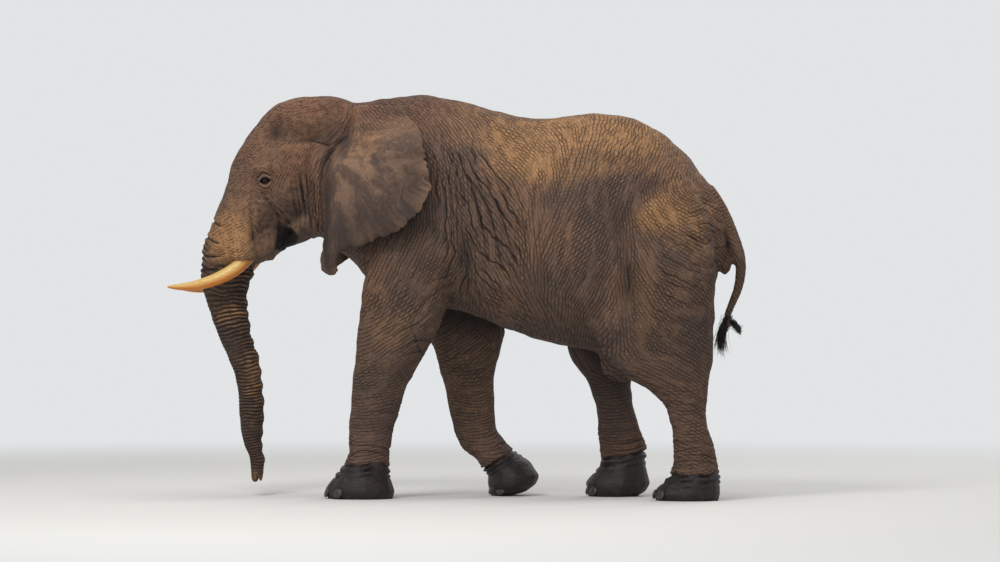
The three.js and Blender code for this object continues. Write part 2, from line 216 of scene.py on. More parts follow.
def fold(flat, path, width, depth, lip=0.35):
    # a furrow with soft lips along a path in the side view, fading out at both ends
    line = curveThrough(path)
    height = np.zeros(len(flat), np.float32)
    low, high = line.min(0) - 5 * width, line.max(0) + 5 * width
    near = np.where(((flat > low) & (flat < high)).all(1))[0]
    spots = flat[near]
    gap = np.full(len(near), 9.0)
    along = np.zeros(len(near))
    for k, (a, b) in enumerate(zip(line[:-1], line[1:])):
        run = b - a
        share = np.clip(((spots - a) @ run) / (run @ run), 0, 1)
        away = np.linalg.norm(spots - a - share[:, None] * run, axis=1)
        closer = away < gap
        gap[closer] = away[closer]
        along[closer] = (k + share[closer]) / (len(line) - 1)
    fade = np.sin(math.pi * np.clip(along, 0, 1)) ** 0.5
    raised = lip * np.exp(-((gap - 2 * width) / width) ** 2)
    height[near] = depth * fade * (raised - np.exp(-(gap / width) ** 2))
    return height


# the hide's form

hide = {
    "voxel": 0.010,
    "overlap": 0.0006,      # the solids' thin cuts close up
    # how far each part is smoothed, in metres
    "reach": {"torso": 0.10, "neck": 0.07, "head": 0.045, "lower_jaw": 0.03, "trunk_upper": 0.035,
              "trunk_middle": 0.035, "trunk_tip": 0.02, "ear_left": 0.028, "ear_right": 0.028,
              "upper_foreleg": 0.08, "thigh": 0.09, "lower_foreleg": 0.06, "shank": 0.055,
              "forefoot": 0.03, "hindfoot": 0.03, "tail": 0.015, "eye_left": 0.03, "eye_right": 0.03},
    "tailRoot": ((2.03, 0, 2.46), (0.07, 0.12, 0.06), 0.07),    # smoother where the tail leaves the rump
    "lips": ((-1.60, 0.24, 1.95), (0.20, 0.14, 0.12), 1.3), "lipHold": 0.6,    # and less smooth here
    "blendReach": 0.04, "regionEdge": 0.02,    # how softly one part's smoothing and field pass into the next
    "sole": 0.006,          # what lies lower than this is pressed flat on the floor
    "triangles": 196000,
}
regions = {    # fields over the hide, each named after the solids that it covers
    "trunk": ("trunk_",), "ear": ("ear_",), "head": ("head", "lower_jaw", "eye_"), "tail": ("tail",),
    "foreleg": ("upper_foreleg", "lower_foreleg", "forefoot"), "hindleg": ("thigh", "shank", "hindfoot"),
    "foot": ("forefoot", "hindfoot"),
}


lobes = [    # soft lobes of hide: middle, half sizes, lean in degrees
    ("head", (-1.495, 0.200, 2.020), (0.090, 0.080, 0.150), 14),    # flap of the upper lip
    ("head", (-1.570, 0.215, 1.990), (0.095, 0.080, 0.120), 0),
    ("head", (-0.768, 0.310, 2.990), (0.058, 0.055, 0.120), 0),     # upper end of the ear's root
    ("head", (-0.728, 0.335, 3.040), (0.075, 0.045, 0.070), 0),
    ("torso", (1.290, 0.0, 1.060), (0.125, 0.085, 0.155), -18),     # sheath under the belly
    ("torso", (1.230, 0.0, 1.200), (0.170, 0.085, 0.110), 10),
    ("torso", (1.380, 0.0, 1.200), (0.140, 0.085, 0.130), -20),
]
tuskSheath = {    # hide that wraps the root of each tusk, down to the edge of the lip
    "root": (-1.50, 0.165, 2.05), "edge": (-1.76, 0.258, 1.815), "count": 12, "radius": 0.079,
    "lip": ((-1.86, -1.80, -1.62, -1.52, -1.478, -1.443, -1.403, -1.36),
            (1.925, 1.905, 1.878, 1.867, 1.876, 1.925, 1.965, 2.0)),
}


def addLobe(work, place, size, lean=0):
    turned = Matrix.Translation(place) @ Matrix.Rotation(math.radians(lean), 4, "Y")
    made = bmesh.ops.create_icosphere(work, subdivisions=4, radius=1,
                                      matrix=turned @ Matrix.Diagonal((*size, 1)))
    for vert in made["verts"]:
        if vert.co.x < -1:    # nothing of the face hangs below the edge of the lip
            vert.co.z = max(vert.co.z, float(np.interp(vert.co.x, *tuskSheath["lip"])))


def addSheath(work, outward):
    root, edge = Vector(tuskSheath["root"]) * outward, Vector(tuskSheath["edge"]) * outward
    for k in range(tuskSheath["count"]):
        addLobe(work, root.lerp(edge, k / (tuskSheath["count"] - 1)), (tuskSheath["radius"],) * 3)


def addTo(joined, owner, work, index):
    # adds one piece of flesh to the joined one, and notes whose faces they are
    mesh = bpy.data.meshes.new("flesh_part")
    work.to_mesh(mesh)
    work.free()
    owner += [index] * len(mesh.polygons)
    joined.from_mesh(mesh)
    bpy.data.meshes.remove(mesh)


def addLobes(joined, owner):
    for part, *lobe in lobes + [("head", None)]:
        work = bmesh.new()
        for sign in sides.values():
            outward = Vector((1, sign, 1))
            if lobe[0] is None:
                addSheath(work, outward)
            else:
                addLobe(work, Vector(lobe[0]) * outward, *lobe[1:])
        addTo(joined, owner, work, fleshNodes.index(part))


def joinFlesh():
    joined = bmesh.new()
    owner = []
    for index, name in enumerate(fleshNodes):
        piece = bmesh.new()
        piece.from_mesh(nodes[name].data)
        bmesh.ops.remove_doubles(piece, verts=piece.verts, dist=1e-5)
        piece.normal_update()
        for vert in piece.verts:
            vert.co += vert.normal * hide["overlap"]
        addTo(joined, owner, piece, index)
    addLobes(joined, owner)
    tree = BVHTree.FromBMesh(joined)
    mesh = bpy.data.meshes.new("flesh")
    joined.to_mesh(mesh)
    joined.free()
    return mesh, tree, np.array(owner)


def evaluated(mesh, *settings):
    # the mesh with some modifiers applied
    holder = bpy.data.objects.new("holder", mesh)
    scene.collection.objects.link(holder)
    for kind, values in settings:
        modifier = holder.modifiers.new(kind, kind)
        for key, value in values.items():
            if key == "vertex_group":    # given as the vertices that are in it
                group = holder.vertex_groups.new(name="part")
                group.add(value, 1.0, "REPLACE")
                value = group.name
            setattr(modifier, key, value)
    graph = bpy.context.evaluated_depsgraph_get()
    made = bpy.data.meshes.new_from_object(holder.evaluated_get(graph))
    bpy.data.objects.remove(holder)
    return made


def largestPart(mesh):
    # drops the specks that the remesh can leave where two cuts meet
    edges = readEdges(mesh)
    label = np.arange(len(mesh.vertices))
    while True:
        pair = np.sort(label[edges], axis=1)
        if (pair[:, 0] == pair[:, 1]).all():
            break
        np.minimum.at(label, pair[:, 1], pair[:, 0])
        while (label[label] != label).any():
            label = label[label]
    names, counts = np.unique(label, return_counts=True)
    lost = np.where(label != names[counts.argmax()])[0]
    if len(lost):
        work = bmesh.new()
        work.from_mesh(mesh)
        work.verts.ensure_lookup_table()
        bmesh.ops.delete(work, geom=[work.verts[k] for k in lost.tolist()], context="VERTS")
        work.to_mesh(mesh)
        work.free()


def smoothHide(mesh, tree, owner):
    points = readPoints(mesh)
    rest = points.copy()
    part = owner[[tree.find_nearest(p)[2] for p in points.tolist()]]
    reachOf = [next(r for key, r in hide["reach"].items() if name.startswith(key)) for name in fleshNodes]
    table = neighbours(mesh)
    spacing = hide["voxel"]
    even = np.full(len(points), hide["blendReach"], np.float32)
    reach = np.float32(reachOf)[part]
    reach += dab(points, *hide["tailRoot"])
    reach *= 1 - hide["lipHold"] * np.clip(dab(bothSides(points), *hide["lips"]), 0, 1)
    reach = np.exp(spread(table, np.log(reach), even, spacing, 25))
    points = spread(table, rest, reach, spacing, 60)
    writePoints(mesh, points)
    normals = readNormals(mesh)
    lost = ((rest - points) * normals).sum(1)
    points = points + normals * spread(table, lost, reach, spacing, 40)[:, None]
    points[:, 2] = np.where(rest[:, 2] < hide["sole"], 0, np.maximum(points[:, 2], 0))
    writePoints(mesh, points)
    soft = np.full(len(points), hide["regionEdge"], np.float32)
    for region, starts in regions.items():
        inside = np.float32([name.startswith(starts) for name in fleshNodes])[part]
        writeField(mesh, region, np.clip(spread(table, inside, soft, spacing, 12), 0, 1))


def refine(mesh, places, radius, times):
    # a finer mesh round each place, for the small forms there
    points = readPoints(mesh)
    near = np.zeros(len(points), bool)
    for place in places:
        near |= np.linalg.norm(points - np.float32(place), axis=1) < radius
    picked = np.where(near[readEdges(mesh)].all(1))[0]
    work = bmesh.new()
    work.from_mesh(mesh)
    work.edges.ensure_lookup_table()
    edges = [work.edges[k] for k in picked.tolist()]
    for k in range(times):
        made = bmesh.ops.subdivide_edges(work, edges=edges, cuts=1, use_grid_fill=True)
        reach = radius * (1 - 0.25 * (k + 1))
        edges = [e for e in made["geom"] if isinstance(e, bmesh.types.BMEdge)
                 and min((e.verts[0].co - place).length for place in places) < reach]
    bmesh.ops.triangulate(work, faces=[f for f in work.faces if len(f.verts) > 4])
    work.to_mesh(mesh)
    work.free()


flesh, fleshTree, fleshOwner = joinFlesh()
skin = evaluated(flesh, ("REMESH", {"mode": "VOXEL", "voxel_size": hide["voxel"], "adaptivity": 0}))
largestPart(skin)
report("joined the flesh")
smoothHide(skin, fleshTree, fleshOwner)
report("smoothed the hide")


# the lie of the wrinkles: at each place in the side view, which way they run, in degrees from level

wrinkleLines = [    # place, angle, how far it holds, how long the cells are, how fine they are
    ((-0.19, 2.90), 128, 0.12, 1.8, 1.0), ((-0.17, 2.75), 100, 0.12, 2.6, 1.0),
    ((-0.05, 2.76), 124, 0.12, 2.4, 1.0), ((-0.12, 2.48), 92, 0.14, 3.0, 1.0),
    ((0.02, 2.48), 104, 0.12, 3.0, 1.0), ((0.15, 2.48), 117, 0.12, 2.6, 0.95),
    ((0.28, 2.30), 118, 0.12, 3.0, 0.9), ((0.13, 2.06), 122, 0.10, 2.8, 0.95),
    ((0.42, 2.05), 119, 0.13, 3.2, 0.9), ((0.50, 1.88), 118, 0.12, 2.6, 0.95),
    ((0.42, 2.78), 138, 0.16, 1.6, 1.05), ((0.67, 2.82), 145, 0.18, 1.4, 1.1),
    ((0.60, 2.45), 135, 0.14, 1.5, 1.05), ((0.93, 2.43), 60, 0.16, 1.3, 1.05),
    ((1.06, 1.98), 46, 0.18, 1.8, 1.0), ((0.99, 1.62), 50, 0.16, 2.2, 1.0),
    ((0.55, 1.70), 110, 0.12, 1.8, 1.0), ((0.41, 1.50), 168, 0.14, 1.8, 1.1),
    ((0.80, 1.40), 150, 0.15, 1.5, 1.1), ((1.17, 2.64), 42, 0.18, 1.6, 1.05),
    ((1.56, 2.64), 62, 0.14, 1.6, 1.05), ((1.07, 1.96), 45, 0.14, 2.0, 1.0),
    ((1.17, 1.45), 66, 0.14, 1.6, 1.1), ((1.45, 2.04), 118, 0.10, 1.6, 1.0),
    ((1.66, 2.25), 150, 0.10, 1.2, 1.05), ((1.72, 1.88), 146, 0.14, 1.6, 1.0),
    ((2.05, 2.16), 178, 0.13, 1.8, 1.0), ((1.90, 1.48), 142, 0.14, 1.4, 1.1),
    ((1.99, 1.73), 160, 0.12, 1.5, 1.05), ((1.66, 1.38), 136, 0.13, 1.4, 1.1),
    ((1.44, 1.67), 118, 0.09, 1.5, 1.05), ((1.86, 1.00), 152, 0.14, 1.5, 1.15),
    ((1.86, 0.70), 176, 0.14, 1.8, 1.2), ((1.95, 0.40), 172, 0.15, 1.8, 1.25),
    ((1.37, 0.70), 178, 0.15, 1.8, 1.2), ((1.37, 0.35), 178, 0.15, 1.8, 1.25),
    ((-0.05, 1.91), 48, 0.12, 1.4, 1.1), ((-0.18, 1.68), 42, 0.14, 1.6, 1.05),
    ((-0.30, 1.42), 44, 0.14, 2.0, 1.0), ((-0.45, 1.75), 62, 0.16, 1.5, 1.1),
    ((-0.50, 1.25), 36, 0.14, 1.8, 1.05), ((-0.55, 0.85), 14, 0.16, 1.8, 1.2),
    ((-0.72, 0.45), 6, 0.16, 1.8, 1.25), ((0.10, 1.20), 30, 0.16, 1.4, 1.3),
    ((0.10, 0.75), 4, 0.18, 1.6, 1.25), ((0.30, 0.35), 4, 0.18, 1.8, 1.25),
    ((-0.45, 2.10), 85, 0.14, 2.0, 1.0), ((-1.10, 2.35), 88, 0.12, 2.2, 1.15),
    ((-1.30, 2.45), 86, 0.12, 1.4, 1.4), ((-1.50, 2.25), 62, 0.12, 1.5, 1.3),
    ((-1.75, 2.15), 40, 0.14, 1.6, 1.2), ((-1.80, 2.50), 10, 0.15, 1.4, 1.3),
    ((-1.55, 2.85), 30, 0.16, 1.2, 1.35), ((-1.25, 2.98), 0, 0.16, 1.3, 1.35),
    ((-1.00, 3.05), 8, 0.14, 1.4, 1.25), ((-0.75, 3.10), 150, 0.12, 1.6, 1.15),
    ((-0.30, 3.10), 150, 0.14, 1.6, 1.1), ((-1.20, 2.70), 70, 0.12, 1.3, 1.35),
    ((-1.85, 1.60), -6, 0.20, 2.4, 1.15), ((-1.75, 1.10), -14, 0.20, 2.4, 1.3),
    ((-1.65, 0.60), -6, 0.20, 2.4, 1.5), ((-1.65, 0.25), -4, 0.16, 2.0, 1.6),
    ((2.20, 1.75), 100, 0.12, 1.6, 1.5),
]


wrinkleMap = {
    "spread": 1.3,                  # how far each line's word carries, times its own reach
    "voxel": 0.02, "rounds": (300, 90, 90, 90), "scaleReach": 0.10,
    "fanFineness": 0.9, "fanLength": 0.3,    # on the ears, where they run out from the root
}
earShape = {
    "root": (-0.90, 2.75),
    "rootLine": ((1.7, 2.0, 2.75, 3.0, 3.2), (-1.05, -1.0, -0.90, -0.68, -0.50)),    # heights, and x there
    "ripple": 0.009, "ripples": 19, "wave": 0.018, "waves": 7,    # heights, and how closely they follow
    "curl": 0.020,          # of the rear rim, inwards
    "scallop": 0.016,       # depth of the bites out of the rear rim
    "forward": 0.055,       # how far the front edge lies ahead of its solid
    "creases": [    # path as (x, z), width, depth
        ([(-0.713, 2.40), (-0.705, 2.25), (-0.713, 2.10), (-0.73, 1.98)], 0.020, 0.007),
        ([(-0.60, 2.42), (-0.56, 2.28), (-0.53, 2.16)], 0.022, 0.005),
        ([(-0.84, 2.60), (-0.83, 2.40), (-0.84, 2.20), (-0.87, 1.98)], 0.026, 0.006),
        ([(-0.62, 2.60), (-0.48, 2.50), (-0.36, 2.43), (-0.28, 2.40)], 0.022, 0.006),
        ([(-0.58, 2.50), (-0.46, 2.40), (-0.36, 2.31)], 0.022, 0.005),
        ([(-0.60, 2.64), (-0.44, 2.675), (-0.28, 2.67), (-0.20, 2.60)], 0.024, 0.016),
        ([(-0.52, 2.76), (-0.38, 2.80), (-0.24, 2.78)], 0.024, 0.004),
        ([(-0.60, 2.86), (-0.48, 2.93), (-0.34, 2.96)], 0.024, 0.004),
    ],
}


families = 6    # directions of straight lines, of which those near the grain show


def family(k, spacing):
    # what counts the lines of one family: a direction across them, a shift, and the way they run
    lean = math.pi * k / families + 0.08
    step = spacing * (1 + 0.05 * (k % 3))
    across = (math.sin(lean) / step, 0.3 / step, -math.cos(lean) / step)
    return across, 0.37 * k, (math.cos(lean), 0, math.sin(lean))


def wrinkleAngles(points):
    # at each point the mean of what the lines near it say
    flat = points[:, [0, 2]]
    total = np.full(len(points), 1e-4)
    sums = np.zeros((3, len(points))) + np.array([[60], [1.5], [1.1]]) * 1e-4
    for place, angle, reach, length, fineness in wrinkleLines:
        share = np.exp(-0.5 * ((flat - np.float32(place)) ** 2).sum(1) / (wrinkleMap["spread"] * reach) ** 2)
        total += share
        sums += share * np.array([[angle], [length], [fineness]])
    angle, length, fineness = sums / total
    return np.radians(angle), length, fineness


def wrinkleWays(points, ear):
    # how each of the map's three coordinates is to change along x, y and z
    flat = points[:, [0, 2]]
    angle, length, fineness = wrinkleAngles(points)
    none = np.zeros(len(points))
    across = np.stack([np.sin(angle), none, -np.cos(angle)], 1) * fineness[:, None]
    along = np.stack([np.cos(angle), none, np.sin(angle)], 1) * (fineness / length)[:, None]
    level = np.stack([none, none + 1, none], 1) * (fineness / np.sqrt(length))[:, None]
    offset = flat - np.float32(earShape["root"])
    fan = offset / (np.hypot(offset[:, 0], offset[:, 1]) + 0.05)[:, None]    # on the ears
    share = smooth(0.3, 0.8, ear)[:, None]
    aside = np.stack([-fan[:, 1], none, fan[:, 0]], 1) * wrinkleMap["fanFineness"]
    outwards = np.stack([fan[:, 0], none, fan[:, 1]], 1) * wrinkleMap["fanLength"]
    across = across * (1 - share) + aside * share
    along = along * (1 - share) + outwards * share
    return across, along, level


def layWrinkles(mesh, flesh, tree, owner):
    # a smooth map of the hide whose first direction crosses the wrinkles everywhere: fitted on a
    # coarse copy, then carried over to the fine one
    voxels = {"mode": "VOXEL", "voxel_size": wrinkleMap["voxel"], "adaptivity": 0}
    coarse = evaluated(flesh, ("REMESH", voxels))
    points = readPoints(coarse).astype(np.float64)
    part = owner[[tree.find_nearest(p)[2] for p in points.tolist()]]
    ways = wrinkleWays(points, np.float32([n.startswith("ear_") for n in fleshNodes])[part])
    here, other, first = table = neighbours(coarse)
    step = points[other] - points[here]
    coarseLie = points[:, [0, 2, 1]]
    scale = np.ones((len(points), 3))
    far = np.full(len(points), wrinkleMap["scaleReach"], np.float32)
    for steps in wrinkleMap["rounds"]:    # the directions matter more than the distances, which may give
        rise = np.stack([((way[here] + way[other]) / 2 * step).sum(1) for way in ways], 1)
        rise *= (scale[here] + scale[other]) / 2
        wanted = -np.add.reduceat(rise, first, axis=0)
        coarseLie = solve(table, np.ones(len(here)), 1e-7, wanted, coarseLie, steps)
        gained = np.add.reduceat(rise * (coarseLie[other] - coarseLie[here]), first, axis=0)
        gain = gained / np.maximum(np.add.reduceat(rise * rise, first, axis=0), 1e-12)
        scale = np.clip(scale * np.clip(gain, 0.5, 2.0), 0.55, 1.9)
        scale = np.exp(spread(table, np.log(scale), far, wrinkleMap["voxel"], 12))
    finder = KDTree(len(points))
    for index, point in enumerate(points.tolist()):
        finder.insert(point, index)
    finder.balance()
    fine = readPoints(mesh)
    near = np.array([finder.find(p)[1] for p in fine.tolist()])
    ways = wrinkleWays(fine, readField(mesh, "ear"))
    offset = fine - points[near]
    lie = coarseLie[near] + scale[near] * np.stack([(offset * way).sum(1) for way in ways], 1)
    lie = spread(neighbours(mesh), lie, np.full(len(fine), 0.02, np.float32), hide["voxel"], 15)
    angle, length, _ = wrinkleAngles(fine)
    writeField(mesh, "cross", smooth(2.4, 1.3, length))    # short cells show more lines across them
    grain = np.stack([np.cos(angle), 0 * angle, np.sin(angle)], 1)
    writeVectors(mesh, "lie", lie)
    writeVectors(mesh, "grain", grain)


layWrinkles(skin, flesh, fleshTree, fleshOwner)
report("laid the wrinkles")

eyeShape = {
    "radius": 0.030, "lid": 0.0055, "halfLength": 0.041, "upper": 0.0235, "lower": 0.0195,
    "fine": 0.12, "keep": 0.050,    # reach of the finer mesh, and of what isn't thinned again
    "tilt": 8, "turn": 12,      # degrees: the slit's slope, and how far the eye looks ahead
    "upperFolds": ((0.018, 0.0060, 0.0110), (0.0385, -0.0105, 0.0050), (0.053, 0.0040, 0.007)),
    "lowerFolds": ((0.018, 0.0045, 0.0110), (0.042, -0.0080, 0.0045), (0.053, 0.0035, 0.006),
                   (0.066, -0.0080, 0.0050), (0.089, -0.0065, 0.006)),    # distance out, height, width
}
eyePlaces = {side: middle("eye_" + side) for side in sides}
refine(skin, list(eyePlaces.values()), eyeShape["fine"], 2)
report("refined the face")


# sculpting: places are (forward x, outward y, up z) in metres, the same on both sides

forms = [    # place, size, height
    ((-1.445, 0.30, 2.900), (0.070, 0.12, 0.085), -0.034),     # temple hollow
    ((-1.18, 0.28, 2.850), (0.15, 0.12, 0.034), -0.020),       # long hollow behind it
    ((-0.93, 0.24, 2.930), (0.06, 0.12, 0.060), -0.020),
    ((-1.30, 0.36, 2.755), (0.14, 0.12, 0.045), 0.018),        # arch of the cheekbone
    ((-1.22, 0.36, 2.660), (0.10, 0.12, 0.060), 0.012),
    ((-1.50, 0.33, 2.610), (0.085, 0.10, 0.028), 0.017),       # brow
    ((-1.62, 0.30, 2.530), (0.050, 0.10, 0.070), -0.010),
    ((-1.47, 0.34, 2.385), (0.060, 0.10, 0.022), -0.008),
    ((-1.31, 0.33, 2.330), (0.060, 0.10, 0.110), 0.012),       # cheek
    ((-1.340, 0.24, 2.060), (0.045, 0.16, 0.045), -0.045),     # corner of the mouth
    ((-1.72, 0.28, 2.060), (0.110, 0.12, 0.120), 0.014),       # root of the tusk
    ((-1.27, 0.24, 2.120), (0.040, 0.16, 0.050), 0.016),
    ((-1.30, 0.10, 3.150), (0.200, 0.16, 0.060), 0.006),
    ((1.670, 0.60, 2.250), (0.095, 0.25, 0.105), 0.026),       # hip knob
    ((1.585, 0.60, 2.455), (0.070, 0.25, 0.080), -0.014),
    ((1.330, 0.62, 2.180), (0.075, 0.25, 0.130), -0.018),      # hollow in front of the hip
    ((1.415, 0.60, 1.690), (0.045, 0.25, 0.140), -0.022),      # groove in front of the thigh
    ((1.250, 0.50, 2.700), (0.260, 0.20, 0.080), 0.008),
    ((0.330, 0.62, 1.990), (0.060, 0.25, 0.160), -0.014),      # hollow behind the shoulder
    ((0.130, 0.55, 1.870), (0.040, 0.25, 0.090), -0.026),
    ((-0.060, 0.60, 2.250), (0.120, 0.25, 0.300), 0.014),      # shoulder blade
    ((-0.330, 0.50, 1.330), (0.090, 0.20, 0.120), 0.012),      # forearm
    ((-0.500, 0.40, 0.760), (0.060, 0.30, 0.140), 0.010),      # wrist
    ((2.020, 0.20, 2.020), (0.060, 0.10, 0.160), 0.012),
]
headFolds = [    # path as (x, z), width, depth
    ([(-0.86, 2.87), (-0.90, 2.82), (-0.95, 2.74), (-0.99, 2.58), (-1.0, 2.32), (-1.01, 2.08)], 0.018, 0.022),
    ([(-1.14, 2.83), (-1.05, 2.805), (-0.98, 2.79), (-0.93, 2.81), (-0.89, 2.85)], 0.013, 0.014),
    ([(-1.11, 2.81), (-1.06, 2.74), (-1.035, 2.66), (-1.03, 2.56)], 0.012, 0.003),
    ([(-1.345, 2.130), (-1.345, 2.080), (-1.375, 2.010), (-1.405, 1.960)], 0.028, 0.035),
    ([(-1.32, 2.125), (-1.285, 2.090), (-1.255, 2.050)], 0.012, 0.010),
    ([(-1.37, 2.82), (-1.28, 2.815), (-1.19, 2.82), (-1.10, 2.82)], 0.020, 0.011),
    ([(-1.29, 2.53), (-1.275, 2.38), (-1.26, 2.24)], 0.009, 0.007),
    ([(-1.245, 2.56), (-1.235, 2.38), (-1.235, 2.20)], 0.008, 0.006),
    ([(-1.215, 2.56), (-1.20, 2.34), (-1.19, 2.15)], 0.011, 0.015),
    ([(-1.16, 2.58), (-1.155, 2.34), (-1.15, 2.13)], 0.011, 0.018),
    ([(-1.125, 2.52), (-1.125, 2.34), (-1.13, 2.16)], 0.008, 0.007),
    ([(-1.10, 2.56), (-1.10, 2.32), (-1.10, 2.10)], 0.012, 0.020),
    ([(-1.06, 2.56), (-1.055, 2.34), (-1.055, 2.09)], 0.012, 0.018),
    ([(-1.45, 2.34), (-1.38, 2.26), (-1.31, 2.17)], 0.011, 0.011),
    ([(-1.42, 2.26), (-1.36, 2.20), (-1.30, 2.14)], 0.010, 0.010),
    ([(-1.53, 2.42), (-1.455, 2.316), (-1.40, 2.213), (-1.42, 2.118)], 0.012, 0.012),
    ([(-1.61, 2.575), (-1.56, 2.605), (-1.49, 2.598), (-1.43, 2.56)], 0.008, 0.008),
    ([(-1.57, 2.455), (-1.53, 2.415), (-1.47, 2.405), (-1.41, 2.43)], 0.009, 0.006),
    ([(-1.59, 2.43), (-1.55, 2.375), (-1.48, 2.36), (-1.40, 2.39)], 0.010, 0.006),
    ([(-1.61, 2.41), (-1.57, 2.335), (-1.50, 2.31), (-1.42, 2.34)], 0.011, 0.006),
    ([(-1.61, 2.38), (-1.56, 2.28), (-1.50, 2.25)], 0.010, 0.006),
    ([(-1.60, 2.34), (-1.61, 2.20), (-1.60, 2.06), (-1.59, 1.93)], 0.015, 0.013),
    ([(-1.64, 2.36), (-1.66, 2.26), (-1.64, 2.15)], 0.009, 0.005),
    ([(-1.42, 2.60), (-1.38, 2.57), (-1.34, 2.52)], 0.007, 0.005),
    ([(-1.40, 2.64), (-1.34, 2.60), (-1.30, 2.54)], 0.007, 0.004),
    ([(-1.86, 2.20), (-1.82, 2.10), (-1.81, 2.00), (-1.83, 1.93)], 0.012, 0.006),
    ([(-1.50, 2.16), (-1.47, 2.06), (-1.47, 1.96)], 0.010, 0.007),
]
browRings = [    # the first broad rings down the front of the trunk
    ([(-1.99, 2.205), (-1.92, 2.165), (-1.84, 2.14)], 0.012, 0.016),
    ([(-2.03, 2.080), (-1.95, 2.030), (-1.87, 2.01)], 0.012, 0.017),
    ([(-2.06, 1.985), (-1.97, 1.960), (-1.90, 1.96)], 0.009, 0.007),
    ([(-2.08, 1.925), (-1.97, 1.905), (-1.86, 1.91)], 0.012, 0.016),
    ([(-2.09, 1.830), (-1.99, 1.800), (-1.88, 1.81)], 0.011, 0.014),
]
bodyFoldDepth = 1.5
bodyFolds = [    # long folds on the body, legs and rump
    ([(-0.29, 2.93), (-0.16, 2.78), (-0.12, 2.60), (-0.11, 2.40), (-0.10, 2.20)], 0.012, 0.005),
    ([(-0.24, 2.96), (-0.10, 2.80), (-0.03, 2.60), (0.01, 2.40), (0.05, 2.20), (0.11, 2.05)], 0.012, 0.006),
    ([(-0.20, 2.99), (-0.03, 2.80), (0.05, 2.60), (0.10, 2.42), (0.16, 2.20), (0.20, 1.95)], 0.013, 0.007),
    ([(-0.10, 2.96), (0.05, 2.75), (0.14, 2.55), (0.21, 2.36), (0.26, 2.18), (0.30, 1.98), (0.33, 1.80)],
     0.014, 0.009),
    ([(0.02, 2.86), (0.15, 2.65), (0.25, 2.45), (0.33, 2.25), (0.38, 2.05), (0.42, 1.85), (0.47, 1.68)],
     0.015, 0.011),
    ([(0.20, 2.70), (0.32, 2.48), (0.41, 2.28), (0.47, 2.08), (0.53, 1.90), (0.58, 1.76)], 0.014, 0.010),
    ([(0.28, 2.66), (0.40, 2.46), (0.50, 2.28), (0.58, 2.08)], 0.013, 0.006),
    ([(0.17, 2.22), (0.24, 2.02), (0.27, 1.85)], 0.012, 0.006),
    ([(0.02, 2.12), (0.08, 2.0), (0.14, 1.90)], 0.012, 0.008),
    ([(1.36, 1.98), (1.40, 1.82), (1.43, 1.66), (1.46, 1.50)], 0.028, 0.006),
    ([(1.02, 1.40), (1.14, 1.58), (1.26, 1.78), (1.34, 1.90)], 0.016, 0.004),
    ([(0.90, 1.44), (1.00, 1.62), (1.12, 1.80), (1.24, 1.95)], 0.016, 0.004),
    ([(1.66, 2.86), (1.755, 2.66), (1.90, 2.47), (2.02, 2.29), (2.11, 2.11), (2.165, 1.92)], 0.022, 0.008),
    ([(1.86, 2.20), (1.95, 2.14), (2.05, 2.12)], 0.012, 0.005),
    ([(1.84, 2.10), (1.94, 2.05), (2.06, 2.04)], 0.012, 0.005),
    ([(-0.30, 1.36), (-0.27, 1.28), (-0.24, 1.16), (-0.235, 1.02)], 0.012, 0.008),
    ([(-0.34, 1.10), (-0.28, 1.08), (-0.22, 1.09)], 0.009, 0.006),
    ([(-0.35, 1.04), (-0.29, 1.01), (-0.22, 1.02)], 0.009, 0.006),
]
unevenness = ((0.004, 0.35, 11), (0.0016, 0.12, 12))    # of the whole hide: amount, size, seed
# the lowest that the lip and chin may hang: x, and the height there
chin = ((-1.56, -1.50, -1.472, -1.432, -1.389, -1.343, -1.237, -1.173, -1.12),
        (1.865, 1.872, 1.920, 1.952, 1.968, 1.984, 2.019, 2.060, 1.9))
trunkRings = {
    "reach": [0.0, 0.35, 0.9, 1.4, 1.75, 2.1],                  # distances up the trunk from its tip
    "spacing": [0.023, 0.024, 0.028, 0.034, 0.040, 0.08],
    "depth": 0.20, "deepest": 0.0100,                           # share of the spacing, and metres
    "wander": ((0.22, 3, 0.24), (0.08, 4, 0.09)),               # size, seed, amount
    "lumps": 0.118, "lumpHeight": 0.006,                        # on the back of the trunk
    "flatten": 0.004,                                           # of its sides
    "girth": ((0.15, 0.34, 0.48, 0.60, 1.20, 1.42, 1.80, 1.95),    # heights, and the factor there
              (0.74, 0.76, 0.92, 1.0, 1.02, 1.10, 1.12, 1.0)),
    "notch": (0.034, 0.012, 0.011),                             # at the tip: depth, place, width
    "top": (-1.68, 2.30, 0.22),                                 # the axis runs up into the face: x, z, radius
    "bands": (1.82, 26, 0.012),                                 # for the axis: up to, count, half height
}
